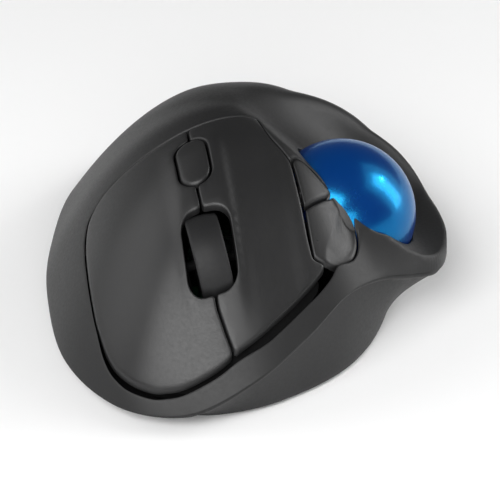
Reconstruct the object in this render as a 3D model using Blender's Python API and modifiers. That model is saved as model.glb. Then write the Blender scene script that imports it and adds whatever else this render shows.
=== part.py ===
"""Thumb trackball mouse: a right-hand casing, two click plates, a scroll wheel and a 34 mm ball.

Lengths in this script are in millimetres and each mesh is scaled to metres when it is made.
+Y is the front (the button end), +X the little-finger side, -X the thumb and ball side, +Z up.
"""

import math

import bmesh
import bpy
import numpy as np
from mathutils import Matrix, Vector
from mathutils.geometry import delaunay_2d_cdt

MM = 0.001

# Casing
SHELL_THICK = 2.0
SLOPE_SHARE = 1.25
SHELL_RINGS = (1, 0.985, 0.95, 0.89, 0.81, 0.71, 0.6, 0.48, 0.34, 0.18)
SEAM_GAP = 0.3
CASE_LOW = 0.8
FLOOR_TOP = 2.8
WALL_FLARE = 0.44
RIM_STEP = 0.6
APEX = (-3.0, 1.5)
CREST = 46.8
WING_LEVEL = 16.8

# Parting line between the casing halves: x, y, z, anticlockwise from the little-finger side
RIM = (
    (45.9, 8, 3.6), (44.6, 34, 3.6), (35.5, 52.5, 3.6), (21, 60.2, 5.0), (6, 59.4, 11.5),
    (-7, 53, 17.5), (-17, 45.5, 22.0), (-26, 38.5, 20.5), (-35, 33, 16.8), (-42.6, 27.6, 14.2),
    (-46.6, 15.5, 13.9), (-46.6, -2, 13.2), (-43.2, -20, 11.0), (-33.3, -41, 7.8), (-17, -56.5, 4.6),
    (2, -60.75, 4.0), (20, -56, 3.6), (35, -38, 3.6), (43, -13, 3.6),
)
# Outline of the underside
BASE = (
    (42.5, 8), (40, 33), (30.5, 49), (18, 55.8), (5, 55.5), (-7, 51), (-16, 45.5), (-22.5, 39),
    (-27.5, 31.5), (-32, 22), (-35, 11.5), (-36, -3), (-34, -20), (-27, -40), (-13, -53.5),
    (2, -57.5), (18, -53), (32.5, -36), (40, -12),
)
# How full the dome is by direction from the apex: degrees, two exponents
FULLNESS = (
    (-180, 4.0, 1.8), (-150, 2.3, 1.2), (-120, 1.9, 1.0), (-90, 1.85, 0.95), (-45, 1.9, 1.0),
    (0, 2.1, 1.15), (45, 2.1, 1.1), (90, 2.0, 1.0), (115, 2.1, 1.0), (140, 3.2, 1.5),
    (160, 4.0, 1.8), (180, 4.0, 1.8),
)

# Click plates, seen from above. The last stretch runs back along the thumb-side crease.
PANEL_ROUND = (
    (-3.4, 6.9), (3.7, 6.6), (11.6, 6.4), (18.5, 6.3), (22.8, 5.8), (27.7, 5.3), (32.2, 5.5),
    (35.2, 7.9), (36.6, 12.5), (37.3, 18.2), (37.6, 25.4), (37.6, 31), (37.4, 35.9), (36.9, 39.5),
    (36.2, 43.3), (35.1, 46.5), (33.7, 49.0), (31.9, 51.3), (29.7, 53.2), (27.1, 54.8),
    (24.4, 55.7), (21.5, 56.3), (17.6, 56.4), (13.2, 55.9), (8.5, 54.4), (4.0, 52.8), (-0.8, 50.2),
    (-5.8, 47.0), (-8.8, 45.0), (-11.3, 42.9), (-12.3, 41.8),
)
PANEL_THUMB = (
    (-9.8, 41.2), (-9.3, 37.5), (-9.1, 32), (-8.7, 26), (-8.3, 21.6), (-6.6, 17.8), (-5.1, 14.6),
    (-4.0, 10.8),
)
# Width of the groove round the plates: it opens out along the front and again towards the thumb
GROOVE_WIDEN = 0.95
GROOVE_START = 37.0
GROOVE_RUN = 14.0
THUMB_WIDEN = 0.8
THUMB_START = 11.0
THUMB_RUN = 8.0
PLATE_THICK = 1.8
# Seam between the plates: its x at each y
SEAM_ALONG = (4.0, 11.0, 24.7, 30.0, 45.9, 49.7, 52.9, 56.1, 60.0)
SEAM_ACROSS = (12.0, 12.5, 13.0, 12.8, 12.4, 11.7, 10.7, 9.5, 8.0)
DPI_AT = (12.8, 17.8)
DPI_HALF = (3.3, 6.6)
DPI_GAP = 0.5
SLOT_AT = (12.4, 37.8)
SLOT_HALF = (5.4, 7.9)
SLOT_CORNER = 3.6

# Side keys and the opening that holds them, seen from above
BACK_OUTLINE = (
    (-10.1, 20.6), (-11.7, 21.4), (-13.9, 24.2), (-16.4, 26.9), (-9.7, 31.4), (-9.3, 26), (-8.9, 21.9),
)
FORWARD_OUTLINE = (
    (-9.8, 32.1), (-16.6, 27.9), (-19.6, 29.6), (-20.9, 32.2), (-20.6, 35.6), (-18.8, 38.7),
    (-14.7, 41), (-12.4, 41.2), (-10.1, 40.6), (-9.9, 37),
)
SIDE_HOLE = (
    (-10.2, 20.0), (-11.9, 20.9), (-14.2, 23.9), (-17.0, 27.2), (-20.0, 29.1), (-21.4, 32.1),
    (-21.1, 35.8), (-19.1, 39.1), (-14.9, 41.5), (-12.8, 41.9), (-9.0, 42.4), (-8.8, 37.5),
    (-8.6, 32), (-8.2, 26), (-7.8, 21.3),
)
KEY_THICK = 1.5
BACK_FINGER_AT = (-9.9, 27.0)
FORWARD_FINGER_AT = (-11.0, 36.5)
FINGER_DEPTH = 4.2
FINGER_SIZE = (5.8, 3.2, 1.0)
FINGER_SHIFT = 2.2
NECK_SIZE = (1.4, 3.2, 4.1)

# Deck under the plates
DECK_DEPTH = 4.8
DECK_THICK = 1.2
WHEEL_ROOM_AT = (13.8, 35.8)
WHEEL_ROOM_HALF = (10.8, 11.4)
STEM_ROOM_HALF = (2.3, 2.3)
DECK_OUTLINE = (
    (-2, 9.5), (12, 9), (28, 7.4), (33, 9.5), (35.6, 18), (36.2, 30), (34.8, 42.5), (30.6, 49.8),
    (25.0, 53.8), (16, 56.0), (5.6, 54.0), (-2.6, 49.6), (-8.8, 45.2), (-11, 42), (-8, 40.4),
    (-4.4, 38), (-4, 30), (-4.2, 18),
)

# Ball
BALL_AT = (-21.4, 16.3, 24.0)
BALL_R = 17.0
OPENING_NORMAL = Vector((-0.703, -0.162, 0.692)).normalized()
OPENING_OFFSET = 4.3
OPENING_R = 17.15
SOCKET_R = (17.6, 19.0)
SOCKET_EDGE = -5.0
PUSH_HOLE_R = 8.0
BEARING_R = 1.25
BEARING_ANGLE = math.radians(118)
SENSOR_DIRECTION = Vector((0.5, -0.72, -0.5)).normalized()

# Scroll wheel
WHEEL_AT = (11.6, 34.2, 26.2)
WHEEL_TILT = math.radians(10)
WHEEL_R = 10.9
WHEEL_HALF = 3.9
WHEEL_CLEARANCE = 0.5
AXLE_R = 1.15
AXLE_LENGTH = 17.0
BORE_R = 1.35
ENCODER_SIZE = (3.4, 7, 7)
ENCODER_AT = (9.6, -1.5, -2.0)
CARRIER_SIZE = (14.4, 7, 15.4)
CARRIER_AT = (0, -1, -6.1)
CARRIER_ROOM_SIZE = (10.6, 12, 18)
CARRIER_ROOM_AT = (0, 0, -3.4)

# Inside
PCB_Z = (4.4, 5.6)
PCB_OUTLINE = ((-9, 13), (32, 13), (34, 28), (28, 42), (18, 49), (6, 49.5), (0.5, 43), (-9, 41))
BATTERY_AT = (6, -17, 10.9)
BATTERY_R = 7.1
BATTERY_HALF = 24.5
CRADLE_SIZE = (17.6, 48, 15.4)
CRADLE_AT = (6, -14.4, 11.6)
DOOR_HALF = 9.0
DOOR_FRONT = 9.0
DOOR_REACH = 70.0
SWITCH_SIZE = (5.8, 12.8, 6.0)
SIDE_SWITCH_SIZE = (2.7, 3.0, 1.7)
SIDE_SWITCH_SHIFT = 4.2
SIDE_SWITCH_GAP = 0.5
SLIDER_AT = (20.7, 8)
SLIDER_KNOB = (4.6, 3.0, 2.6)
SLIDER_FLANGE = (10.5, 5.6, 0.9)
SLIDER_SLOT = (8.6, 3.8, 4)
SLIDER_SLOT_AT = (22, 8)
LEFT_SWITCH_AT = (-0.6, 36.6)
RIGHT_SWITCH_AT = (25, 34)
FEET = {
    "foot_front_left": (-12, 40, 5), "foot_front_right": (30, 37, 5), "foot_side": (34, 4, 4.5),
    "foot_rear_right": (26, -36, 5), "foot_rear_left": (-19, -40, 5),
}
SCREWS = {
    "screw_side": (35, -10), "screw_rear_right": (20, -45), "screw_rear_left": (-27, -24),
    "screw_front": (-4.6, 46.0),
}
POST_R = 2.5
RECEIVER_AT = (23.8, -14)
RECEIVER_ROOM = (13.8, 6.8)


# Curves and surfaces
def spline_run(a, b, c, d, t):
    """Points from b to c on the smooth curve through a, b, c and d."""
    return 0.5 * (2 * b + (c - a) * t + (2 * a - 5 * b + 4 * c - d) * t**2 + (3 * b - a - 3 * c + d) * t**3)


def closed_spline(points, per):
    """Points along the closed curve through the given ones."""
    points = np.asarray(points, float)
    count = len(points)
    t = (np.arange(per) / per)[:, None]
    runs = []
    for i in range(count):
        after, beyond = points[(i + 1) % count], points[(i + 2) % count]
        runs.append(spline_run(points[i - 1], points[i], after, beyond, t))
    return np.vstack(runs)


def open_spline(points, per):
    """Points along the curve through the given ones, from the first to the last."""
    points = np.asarray(points, float)
    padded = np.vstack([2 * points[0] - points[1], points, 2 * points[-1] - points[-2]])
    t = (np.arange(per) / per)[:, None]
    runs = [spline_run(*four, t) for four in zip(padded, padded[1:], padded[2:], padded[3:])]
    return np.vstack(runs + [points[-1:]])


def polar_table(outline, centre):
    """Angle, distance and height of an outline about a centre, repeated so that any angle can be read."""
    dense = closed_spline(outline, 24)
    angle = np.arctan2(dense[:, 1] - centre[1], dense[:, 0] - centre[0])
    radius = np.hypot(dense[:, 0] - centre[0], dense[:, 1] - centre[1])
    order = np.argsort(angle)
    angle = angle[order]
    angles = np.concatenate([angle - 2 * np.pi, angle, angle + 2 * np.pi])
    height = dense[order, 2] if dense.shape[1] > 2 else np.zeros(len(dense))
    return angles, np.tile(radius[order], 3), np.tile(height, 3)


RIM_TABLE = polar_table(RIM, APEX)
BASE_TABLE = polar_table(BASE, APEX)


def rim_at(angle):
    """Radius and height of the parting line in a direction from the apex."""
    return np.interp(angle, RIM_TABLE[0], RIM_TABLE[1]), np.interp(angle, RIM_TABLE[0], RIM_TABLE[2])


def eased(x, stations, values):
    """A value read smoothly between stations."""
    i = np.clip(np.searchsorted(stations, x) - 1, 0, len(stations) - 2)
    t = (x - stations[i]) / (stations[i + 1] - stations[i])
    t = t * t * (3 - 2 * t)
    return values[i] * (1 - t) + values[i + 1] * t


def smooth_max(a, b, width):
    return 0.5 * (a + b + np.sqrt((a - b) ** 2 + width**2))


def smooth_min(a, b, width):
    return 0.5 * (a + b - np.sqrt((a - b) ** 2 + width**2))


def dome(x, y):
    """The palm rest: from the parting line up to the crest."""
    angle = np.arctan2(y - APEX[1], x - APEX[0])
    radius, low = rim_at(angle)
    stations, first, second = np.array(FULLNESS, float).T
    turn = np.degrees(angle)
    share = np.clip(np.hypot(x - APEX[0], y - APEX[1]) / radius, 0, 1)
    rise = (1 - share ** eased(turn, stations, first)) ** (1 / eased(turn, stations, second))
    return low + (CREST - low) * rise


def valley(x, y):
    """The thumb side: the ball opening's plane, the wing beyond it and the scoop behind it."""
    across = OPENING_NORMAL.x * (x - BALL_AT[0]) + OPENING_NORMAL.y * (y - BALL_AT[1])
    plane = BALL_AT[2] + (OPENING_OFFSET - across) / OPENING_NORMAL.z
    behind = np.maximum(0, 2.0 - y)
    return smooth_max(plane, WING_LEVEL, 6.0) + 0.05 * behind**2


def top(x, y):
    """Height of the outside of the casing over a point seen from above."""
    x, y = np.asarray(x, float), np.asarray(y, float)
    return smooth_min(dome(x, y), valley(x, y), np.interp(y, (-10, 5, 18), (6, 3, 0.8)))


def normal_at(x, y):
    """Outward normal of the casing's surface."""
    step = 0.2
    slope_x = (top(x + step, y) - top(x - step, y)) / (2 * step)
    slope_y = (top(x, y + step) - top(x, y - step)) / (2 * step)
    return Vector((-float(slope_x), -float(slope_y), 1)).normalized()


# Outlines
def rounded_box(centre, half, corner, per=5):
    """A rounded rectangle as a closed outline, anticlockwise."""
    points = []
    for quarter, (sx, sy) in enumerate(((1, 1), (-1, 1), (-1, -1), (1, -1))):
        middle = (centre[0] + sx * (half[0] - corner), centre[1] + sy * (half[1] - corner))
        for i in range(per + 1):
            angle = math.pi / 2 * (quarter + i / per)
            points.append((middle[0] + corner * math.cos(angle), middle[1] + corner * math.sin(angle)))
    return np.array(points)


def offset(outline, distance):
    """The closed outline moved outwards by a distance, or by one distance per point."""
    before = outline - np.roll(outline, 1, axis=0)
    after = np.roll(outline, -1, axis=0) - outline
    before /= np.linalg.norm(before, axis=1, keepdims=True)
    after /= np.linalg.norm(after, axis=1, keepdims=True)
    out = np.column_stack([before[:, 1] + after[:, 1], -before[:, 0] - after[:, 0]])
    out /= np.linalg.norm(out, axis=1, keepdims=True)
    facing = np.clip(out[:, 0] * after[:, 1] - out[:, 1] * after[:, 0], 0.6, 1)
    return outline + out * (np.asarray(distance) / facing)[:, None]


def area(outline):
    x, y = outline[:, 0], outline[:, 1]
    return 0.5 * float(np.sum(x * np.roll(y, -1) - y * np.roll(x, -1)))


def anticlockwise(outline):
    return outline if area(outline) > 0 else outline[::-1]


def panel_outline(per=3):
    return anticlockwise(np.vstack([open_spline(PANEL_ROUND, per), open_spline(PANEL_THUMB, 2)]))


def panel_hole(per=3):
    """The opening for the click plates: a fine seam that widens to a groove along the front."""
    outline = panel_outline(per)
    x, y = outline.T
    front = np.clip((y - GROOVE_START) / GROOVE_RUN, 0, 1)
    thumb = np.clip((THUMB_START - x) / THUMB_RUN, 0, 1) * (y > 41.5)
    gap = SEAM_GAP + GROOVE_WIDEN * np.maximum(front, thumb > 0) + THUMB_WIDEN * thumb
    by_the_keys = (x < -4.0) & (y < 41.5)
    return offset(outline, np.where(by_the_keys, SEAM_GAP * 0.5, gap))


def opening_ring(radius, count=40):
    """The ball opening's edge, seen from above."""
    across = OPENING_NORMAL.cross(Vector((0, 1, 0))).normalized()
    along = OPENING_NORMAL.cross(across)
    centre = Vector(BALL_AT) + OPENING_NORMAL * OPENING_OFFSET
    turns = [2 * math.pi * i / count for i in range(count)]
    ring = [centre + radius * (math.cos(t) * across + math.sin(t) * along) for t in turns]
    return anticlockwise(np.array([(p.x, p.y) for p in ring]))


def inside(outline, points):
    """Which points lie within a closed outline."""
    found = np.zeros(len(points), bool)
    for (x1, y1), (x2, y2) in zip(outline, np.roll(outline, -1, axis=0)):
        if y1 == y2:
            continue
        crosses = (y1 > points[:, 1]) != (y2 > points[:, 1])
        found ^= crosses & (points[:, 0] < x1 + (points[:, 1] - y1) * (x2 - x1) / (y2 - y1))
    return found


def distance_to(outline, points):
    """Distance of each point from a closed outline."""
    least = np.full(len(points), np.inf)
    for start, end in zip(outline, np.roll(outline, -1, axis=0)):
        way = end - start
        t = np.clip(((points - start) @ way) / (way @ way), 0, 1)
        least = np.minimum(least, np.linalg.norm(points - start - t[:, None] * way, axis=1))
    return least


# Meshes
def add_mesh(name, points, faces, material, collection):
    mesh = bpy.data.meshes.new(name)
    mesh.from_pydata([tuple(MM * float(v) for v in p) for p in points], [], [tuple(f) for f in faces])
    piece = bpy.data.objects.new(name, mesh)
    collection.objects.link(piece)
    if material:
        mesh.materials.append(material)
    work = bmesh.new()
    work.from_mesh(mesh)
    bmesh.ops.remove_doubles(work, verts=work.verts, dist=1e-7)
    bmesh.ops.recalc_face_normals(work, faces=work.faces)
    work.to_mesh(mesh)
    work.free()
    return piece


def grid_points(outline, spacing):
    low, high = outline.min(axis=0), outline.max(axis=0)
    xs = np.arange(low[0] + spacing / 2, high[0], spacing)
    ys = np.arange(low[1] + spacing / 2, high[1], spacing)
    return np.array([(x, y) for x in xs for y in ys])


def fill(outlines, extra, keep, clear):
    """Triangles over a plan area. keep says which points belong; extra ones stay clear of the outlines."""
    if len(extra):
        free = keep(extra)
        for outline in outlines:
            free &= distance_to(outline, extra) > clear
        extra = extra[free]
    points, edges = [], []
    for outline in outlines:
        first = len(points)
        points += [tuple(p) for p in outline]
        edges += [(first + i, first + (i + 1) % len(outline)) for i in range(len(outline))]
    points += [tuple(p) for p in extra]
    verts, _, faces, *_ = delaunay_2d_cdt([Vector(p) for p in points], edges, [], 0, 1e-5, False)
    flat = np.array([tuple(v) for v in verts])
    faces = np.array([f for f in faces if len(f) == 3])
    faces = faces[keep(flat[faces].mean(axis=1))]
    used = np.unique(faces)
    renumber = np.zeros(len(flat), int)
    renumber[used] = np.arange(len(used))
    return flat[used], renumber[faces]


def border_edges(faces):
    """Directed edges that only one triangle has."""
    seen = {}
    for a, b, c in faces:
        for edge in ((a, b), (b, c), (c, a)):
            seen[edge] = True
    return [edge for edge in seen if edge[::-1] not in seen]


def thick_mesh(name, upper, lower, faces, material, collection):
    """A closed body between two sheets that share one triangulation."""
    count = len(upper)
    flipped = [(c + count, b + count, a + count) for a, b, c in faces]
    sides = [(b, a, a + count, b + count) for a, b in border_edges(faces)]
    every_face = [tuple(f) for f in faces] + flipped + sides
    return add_mesh(name, np.vstack([upper, lower]), every_face, material, collection)


def clear_of_ball(points, radius):
    """Points that would reach into the ball's space, moved out to its surface."""
    away = points - np.array(BALL_AT)
    distance = np.linalg.norm(away, axis=1, keepdims=True)
    return np.where(distance < radius, np.array(BALL_AT) + away * radius / distance, points)


def plate(name, flat, faces, depth, thickness, material, collection):
    """A sheet that follows the casing's surface at a depth below it."""
    high = top(flat[:, 0], flat[:, 1]) - depth
    upper = clear_of_ball(np.column_stack([flat, high]), SOCKET_R[0])
    lower = clear_of_ball(np.column_stack([flat, high - thickness * SLOPE_SHARE]), SOCKET_R[0])
    return thick_mesh(name, upper, lower, faces, material, collection)


def box(name, centre, size, material, collection):
    work = bmesh.new()
    bmesh.ops.create_cube(work, size=1)
    bmesh.ops.scale(work, vec=[s * MM for s in size], verts=work.verts)
    return from_bmesh(name, work, centre, material, collection)


def from_bmesh(name, work, centre, material, collection):
    mesh = bpy.data.meshes.new(name)
    work.to_mesh(mesh)
    work.free()
    if material:
        mesh.materials.append(material)
    piece = bpy.data.objects.new(name, mesh)
    piece.location = [v * MM for v in centre]
    collection.objects.link(piece)
    return piece


def upright(segments, radius, height):
    work = bmesh.new()
    bmesh.ops.create_cone(
        work, cap_ends=True, segments=segments, radius1=radius, radius2=radius, depth=height
    )
    return work


def cylinder(name, centre, radius, height, material, collection, segments=24, axis=(0, 0, 1)):
    work = upright(segments, radius * MM, height * MM)
    piece = from_bmesh(name, work, centre, material, collection)
    piece.rotation_euler = Vector(axis).to_track_quat("Z", "Y").to_euler()
    return piece


def sphere(name, centre, radius, material, collection, segments=24):
    work = bmesh.new()
    bmesh.ops.create_uvsphere(work, u_segments=segments, v_segments=segments // 2, radius=radius * MM)
    return from_bmesh(name, work, centre, material, collection)


def turned(name, profile, material, collection, steps=36, closed=False):
    """A body turned about its own Z from (radius, height) points that run down its outer side."""
    mesh = bpy.data.meshes.new(name)
    count = len(profile)
    edges = [(i, i + 1) for i in range(count - 1)] + ([(count - 1, 0)] if closed else [])
    mesh.from_pydata([(r * MM, 0, z * MM) for r, z in profile], edges, [])
    mesh.materials.append(material)
    piece = bpy.data.objects.new(name, mesh)
    collection.objects.link(piece)
    screw = piece.modifiers.new("turn", "SCREW")
    screw.steps = screw.render_steps = steps
    screw.use_merge_vertices = True
    screw.merge_threshold = 1e-5
    return piece


def cut(piece, cutter, operation="DIFFERENCE"):
    modifier = piece.modifiers.new(operation.lower(), "BOOLEAN")
    modifier.operation = operation
    modifier.object = cutter
    return piece


# Materials
def finish(name, colour, roughness, metallic=0.0):
    material = bpy.data.materials.new(name)
    material.use_nodes = True
    shader = material.node_tree.nodes["Principled BSDF"]
    shader.inputs["Base Color"].default_value = (*colour, 1)
    shader.inputs["Roughness"].default_value = roughness
    shader.inputs["Metallic"].default_value = metallic
    return material


def clear_scene():
    for existing in list(bpy.data.objects):
        bpy.data.objects.remove(existing, do_unlink=True)


def new_collection(name, hidden=False):
    collection = bpy.data.collections.new(name)
    bpy.context.scene.collection.children.link(collection)
    collection.hide_render = hidden
    return collection


clear_scene()
PARTS = new_collection("thumb_trackball_mouse")
CUTTERS = new_collection("cutters", hidden=True)
CASING = finish("casing_plastic", (0.085, 0.085, 0.09), 0.45)
KEYS = finish("key_plastic", (0.1, 0.1, 0.105), 0.4)
INNER = finish("inner_plastic", (0.02, 0.02, 0.022), 0.6)
RUBBER = finish("wheel_rubber", (0.035, 0.035, 0.037), 0.7)
BALL_GLOSS = finish("ball_resin", (0.03, 0.1, 0.45), 0.08, 0.3)
CERAMIC = finish("bearing_ceramic", (0.8, 0.8, 0.76), 0.2)
STEEL = finish("zinc_steel", (0.6, 0.6, 0.62), 0.3, 1.0)
BOARD = finish("circuit_board", (0.02, 0.12, 0.05), 0.5)
SWITCH = finish("switch_plastic", (0.05, 0.05, 0.055), 0.5)
LENS = finish("sensor_lens", (0.7, 0.75, 0.8), 0.1)
CELL = finish("battery_jacket", (0.12, 0.3, 0.2), 0.35, 0.4)
FOOT = finish("foot_slip_plastic", (0.03, 0.03, 0.03), 0.35)


def cutter(piece):
    piece.display_type = "WIRE"
    piece.hide_render = True
    return piece


def round_cutter(name, centre, radius, height, segments=20, axis=(0, 0, 1)):
    return cutter(cylinder(name, centre, radius, height, None, CUTTERS, segments, axis))


def box_cutter(name, centre, size):
    return cutter(box(name, centre, size, None, CUTTERS))


def post(name, at, radius, segments, low, depth):
    """A round post whose head is shaped to lie at a depth below the casing's surface."""
    x, y = at
    work = upright(segments, radius, 2)
    for vert in work.verts:
        px, py = x + vert.co.x, y + vert.co.y
        height = float(top(px, py)) - depth if vert.co.z > 0 else low
        vert.co = Vector((px, py, height)) * MM
    return cutter(from_bmesh(name, work, (0, 0, 0), None, CUTTERS))


# Casing
def ring_at(turn, radius, height):
    """A closed ring of points about the apex, one for each direction."""
    flat = np.array(APEX) + turn * np.reshape(radius, (-1, 1))
    return np.column_stack([flat, np.broadcast_to(height, len(turn))])


def bottom_case():
    """A tray: the outer wall curves out from the underside to the parting line."""
    count = 60
    angles = np.arange(count) * 2 * np.pi / count
    turn = np.column_stack([np.cos(angles), np.sin(angles)])
    base = np.interp(angles, BASE_TABLE[0], BASE_TABLE[1])
    rim, high = rim_at(angles)
    lip = high - SEAM_GAP
    lower_edge = CASE_LOW + 0.9 * np.minimum(1, (lip - CASE_LOW) / 4)
    middle = CASE_LOW + 0.5 * (lip - CASE_LOW)
    wall = (1 - WALL_FLARE) * base + WALL_FLARE * (rim - RIM_STEP)
    rings = [
        ring_at(turn, base - 1.2, CASE_LOW),
        ring_at(turn, base, lower_edge),
        ring_at(turn, wall, middle),
        ring_at(turn, rim - RIM_STEP, lip),
        ring_at(turn, rim - 2.5, lip),
        ring_at(turn, wall - 2.1, np.maximum(middle, FLOOR_TOP + 0.3)),
        ring_at(turn, base - 2.3, FLOOR_TOP),
    ]
    points = np.vstack(rings + [[(*APEX, CASE_LOW)], [(*APEX, FLOOR_TOP)]])
    low, high_centre, last = len(points) - 2, len(points) - 1, (len(rings) - 1) * count
    faces = []
    for i in range(count):
        j = (i + 1) % count
        for level in range(0, last, count):
            faces.append((level + i, level + j, level + count + j, level + count + i))
        faces.append((j, i, low))
        faces.append((last + i, last + j, high_centre))
    case = add_mesh("bottom_case", points, faces, CASING, PARTS)
    cut_underside(case)
    return case


def cut_underside(case):
    """Openings in the floor: ball push-out hole, battery, slider, receiver, feet and screws."""
    x, y, _ = BALL_AT
    cut(case, round_cutter("push_hole", (x, y, 2), PUSH_HOLE_R, 8, 32))
    length = DOOR_FRONT + SEAM_GAP + DOOR_REACH
    middle = (BATTERY_AT[0], DOOR_FRONT + SEAM_GAP - length / 2, 1.5)
    cut(case, box_cutter("battery_opening", middle, (2 * (DOOR_HALF + SEAM_GAP), length, 3.0)))
    cut(case, box_cutter("slider_slot", (*SLIDER_SLOT_AT, 2), SLIDER_SLOT))
    cut(case, box_cutter("receiver_slot", (*RECEIVER_AT, 2), (*RECEIVER_ROOM, 4)))
    for name, (fx, fy, radius) in FEET.items():
        cut(case, round_cutter(name + "_pocket", (fx, fy, 0), radius + 0.2, 2.4, 32))
    for name, (sx, sy) in SCREWS.items():
        cut(case, round_cutter(name + "_seat", (sx, sy, 0.8), 2.7, 2.4))
        cut(case, round_cutter(name + "_hole", (sx, sy, 3), 1.5, 6))


def screw_post(name, at, depth):
    return post(name, at, POST_R, 20, FLOOR_TOP + 0.4, depth)


def shell_sheets(flat, edge, openings):
    """Outer and inner sides of the upper casing over the same points seen from above."""
    high = top(flat[:, 0], flat[:, 1])
    away = flat - np.array(APEX)
    radius, low = rim_at(np.arctan2(away[:, 1], away[:, 0]))
    reach = np.linalg.norm(away, axis=1)
    on_rim = distance_to(edge, flat) < 1e-3
    high = np.where(on_rim, low, high)
    lean = np.clip((reach / radius - 0.72) / 0.25, 0, 1)
    lean = lean * lean * (3 - 2 * lean)
    lean *= np.clip(np.min([distance_to(outline, flat) for outline in openings], axis=0) / 4, 0, 1)
    inward = away / np.maximum(reach, 1e-6)[:, None]
    under = flat - inward * (SHELL_THICK * lean)[:, None]
    floor = np.maximum(low, high - SHELL_THICK * SLOPE_SHARE * (1 - lean))
    drop = np.where(on_rim, low, floor)
    upper = clear_of_ball(np.column_stack([flat, high]), SOCKET_R[0] - 0.3)
    lower = clear_of_ball(np.column_stack([under, drop]), SOCKET_R[0])
    return upper, lower


def top_shell():
    """The upper casing: palm rest, thumb scoop and wing, open for the plates, side keys and ball."""
    angles = np.arange(64) * 2 * np.pi / 64
    rim, _ = rim_at(angles)
    turn = np.column_stack([np.cos(angles), np.sin(angles)])
    rings = [np.array(APEX) + turn * (rim * share)[:, None] for share in SHELL_RINGS]
    openings = [panel_hole(2), anticlockwise(np.array(SIDE_HOLE)), opening_ring(OPENING_R, 36)]

    def keep(points):
        kept = inside(rings[0], points)
        for outline in openings:
            kept &= ~inside(outline, points)
        return kept

    flat, faces = fill([rings[0]] + openings, np.vstack(rings[1:]), keep, 0.9)
    upper, lower = shell_sheets(flat, rings[0], openings)
    shell = thick_mesh("top_shell", upper, lower, faces, CASING, PARTS)
    for name, at in SCREWS.items():
        if name != "screw_front":
            cut(shell, screw_post(name + "_post", at, 1.0), "UNION")
            bore(shell, name, at)
    return shell


def bore(piece, name, at):
    cut(piece, round_cutter(name + "_bore", (*at, 4.5), 1.4, 4.4, 16))


# Click plates and keys
def click_plate(name, side, switch_at):
    """One half of the panel, notched for the resolution key and the wheel."""
    panel = panel_outline(3)
    pill = offset(rounded_box(DPI_AT, DPI_HALF, DPI_HALF[0] - 0.01), DPI_GAP)
    slot = rounded_box(SLOT_AT, SLOT_HALF, SLOT_CORNER)
    edge = np.array(SEAM_ACROSS) + side * SEAM_GAP / 2
    run = np.column_stack([edge, SEAM_ALONG])
    cutline = np.vstack([run, (run - (side * 0.05, 0))[::-1]])

    def keep(points):
        beyond = side * (points[:, 0] - np.interp(points[:, 1], SEAM_ALONG, edge))
        kept = inside(panel, points) & (beyond > 0)
        return kept & ~inside(pill, points) & ~inside(slot, points)

    flat, faces = fill([panel, pill, slot, cutline], grid_points(panel, 5.5), keep, 1.6)
    piece = plate(name, flat, faces, 0.0, PLATE_THICK, KEYS, PARTS)
    room = round_cutter(
        name + "_wheel_room", (0, 0, 0), WHEEL_R + WHEEL_CLEARANCE, 2 * WHEEL_HALF + 1.2, 40
    )
    cut(piece, wheel_piece(room))
    low = PCB_Z[1] + SWITCH_SIZE[2] + 0.7
    return cut(piece, post(name + "_stem", switch_at, 1.5, 12, low, 1.2), "UNION")


def button_frame():
    """The dark deck under the plates, which is the floor of the front groove."""
    outline = anticlockwise(closed_spline(DECK_OUTLINE, 2))
    slot = rounded_box(WHEEL_ROOM_AT, WHEEL_ROOM_HALF, SLOT_CORNER)
    stems = [rounded_box(at, STEM_ROOM_HALF, 2.2, 3) for at in (LEFT_SWITCH_AT, RIGHT_SWITCH_AT)]
    holes = [slot] + stems

    def keep(points):
        kept = inside(outline, points)
        for hole in holes:
            kept &= ~inside(hole, points)
        return kept

    flat, faces = fill([outline] + holes, grid_points(outline, 6), keep, 1.8)
    frame = plate("button_frame", flat, faces, DECK_DEPTH, DECK_THICK, INNER, PARTS)
    at = SCREWS["screw_front"]
    cut(frame, screw_post("screw_front_post", at, DECK_DEPTH + 0.6), "UNION")
    bore(frame, "screw_front", at)
    return frame


def key(name, outline):
    outline = anticlockwise(np.array(outline))
    flat, faces = fill([outline], grid_points(outline, 3.0), lambda points: inside(outline, points), 1.0)
    return plate(name, flat, faces, 0.0, KEY_THICK, KEYS, PARTS)


def resolution_key():
    return key("dpi_button", rounded_box(DPI_AT, DPI_HALF, DPI_HALF[0] - 0.01))


def side_key(name, outline, at):
    """A key with a neck and a finger that reaches under the plate, over its switch."""
    piece = key(name, outline)
    x, y = at
    high = float(top(x, y))
    neck = box_cutter(name + "_neck", (x, y, high - 0.4 - NECK_SIZE[2] / 2), NECK_SIZE)
    finger = box_cutter(name + "_finger", (x + FINGER_SHIFT, y, high - FINGER_DEPTH), FINGER_SIZE)
    cut(piece, neck, "UNION")
    return cut(piece, finger, "UNION")


# Ball
def point_on_ball(direction, distance):
    return tuple(Vector(BALL_AT) + distance * direction)


def socket_axis():
    holder = bpy.data.objects.new("socket_axis", None)
    holder.location = [v * MM for v in BALL_AT]
    holder.rotation_euler = OPENING_NORMAL.to_track_quat("Z", "Y").to_euler()
    PARTS.objects.link(holder)
    return holder


def bearing_directions():
    """Three directions from the ball's middle, evenly round the opening's axis."""
    across = OPENING_NORMAL.cross(Vector((0, 1, 0))).normalized()
    along = OPENING_NORMAL.cross(across)
    found = []
    for i in range(3):
        turn = math.radians(50 + 120 * i)
        side = math.cos(turn) * across + math.sin(turn) * along
        found.append(math.cos(BEARING_ANGLE) * OPENING_NORMAL + math.sin(BEARING_ANGLE) * side)
    return found


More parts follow.
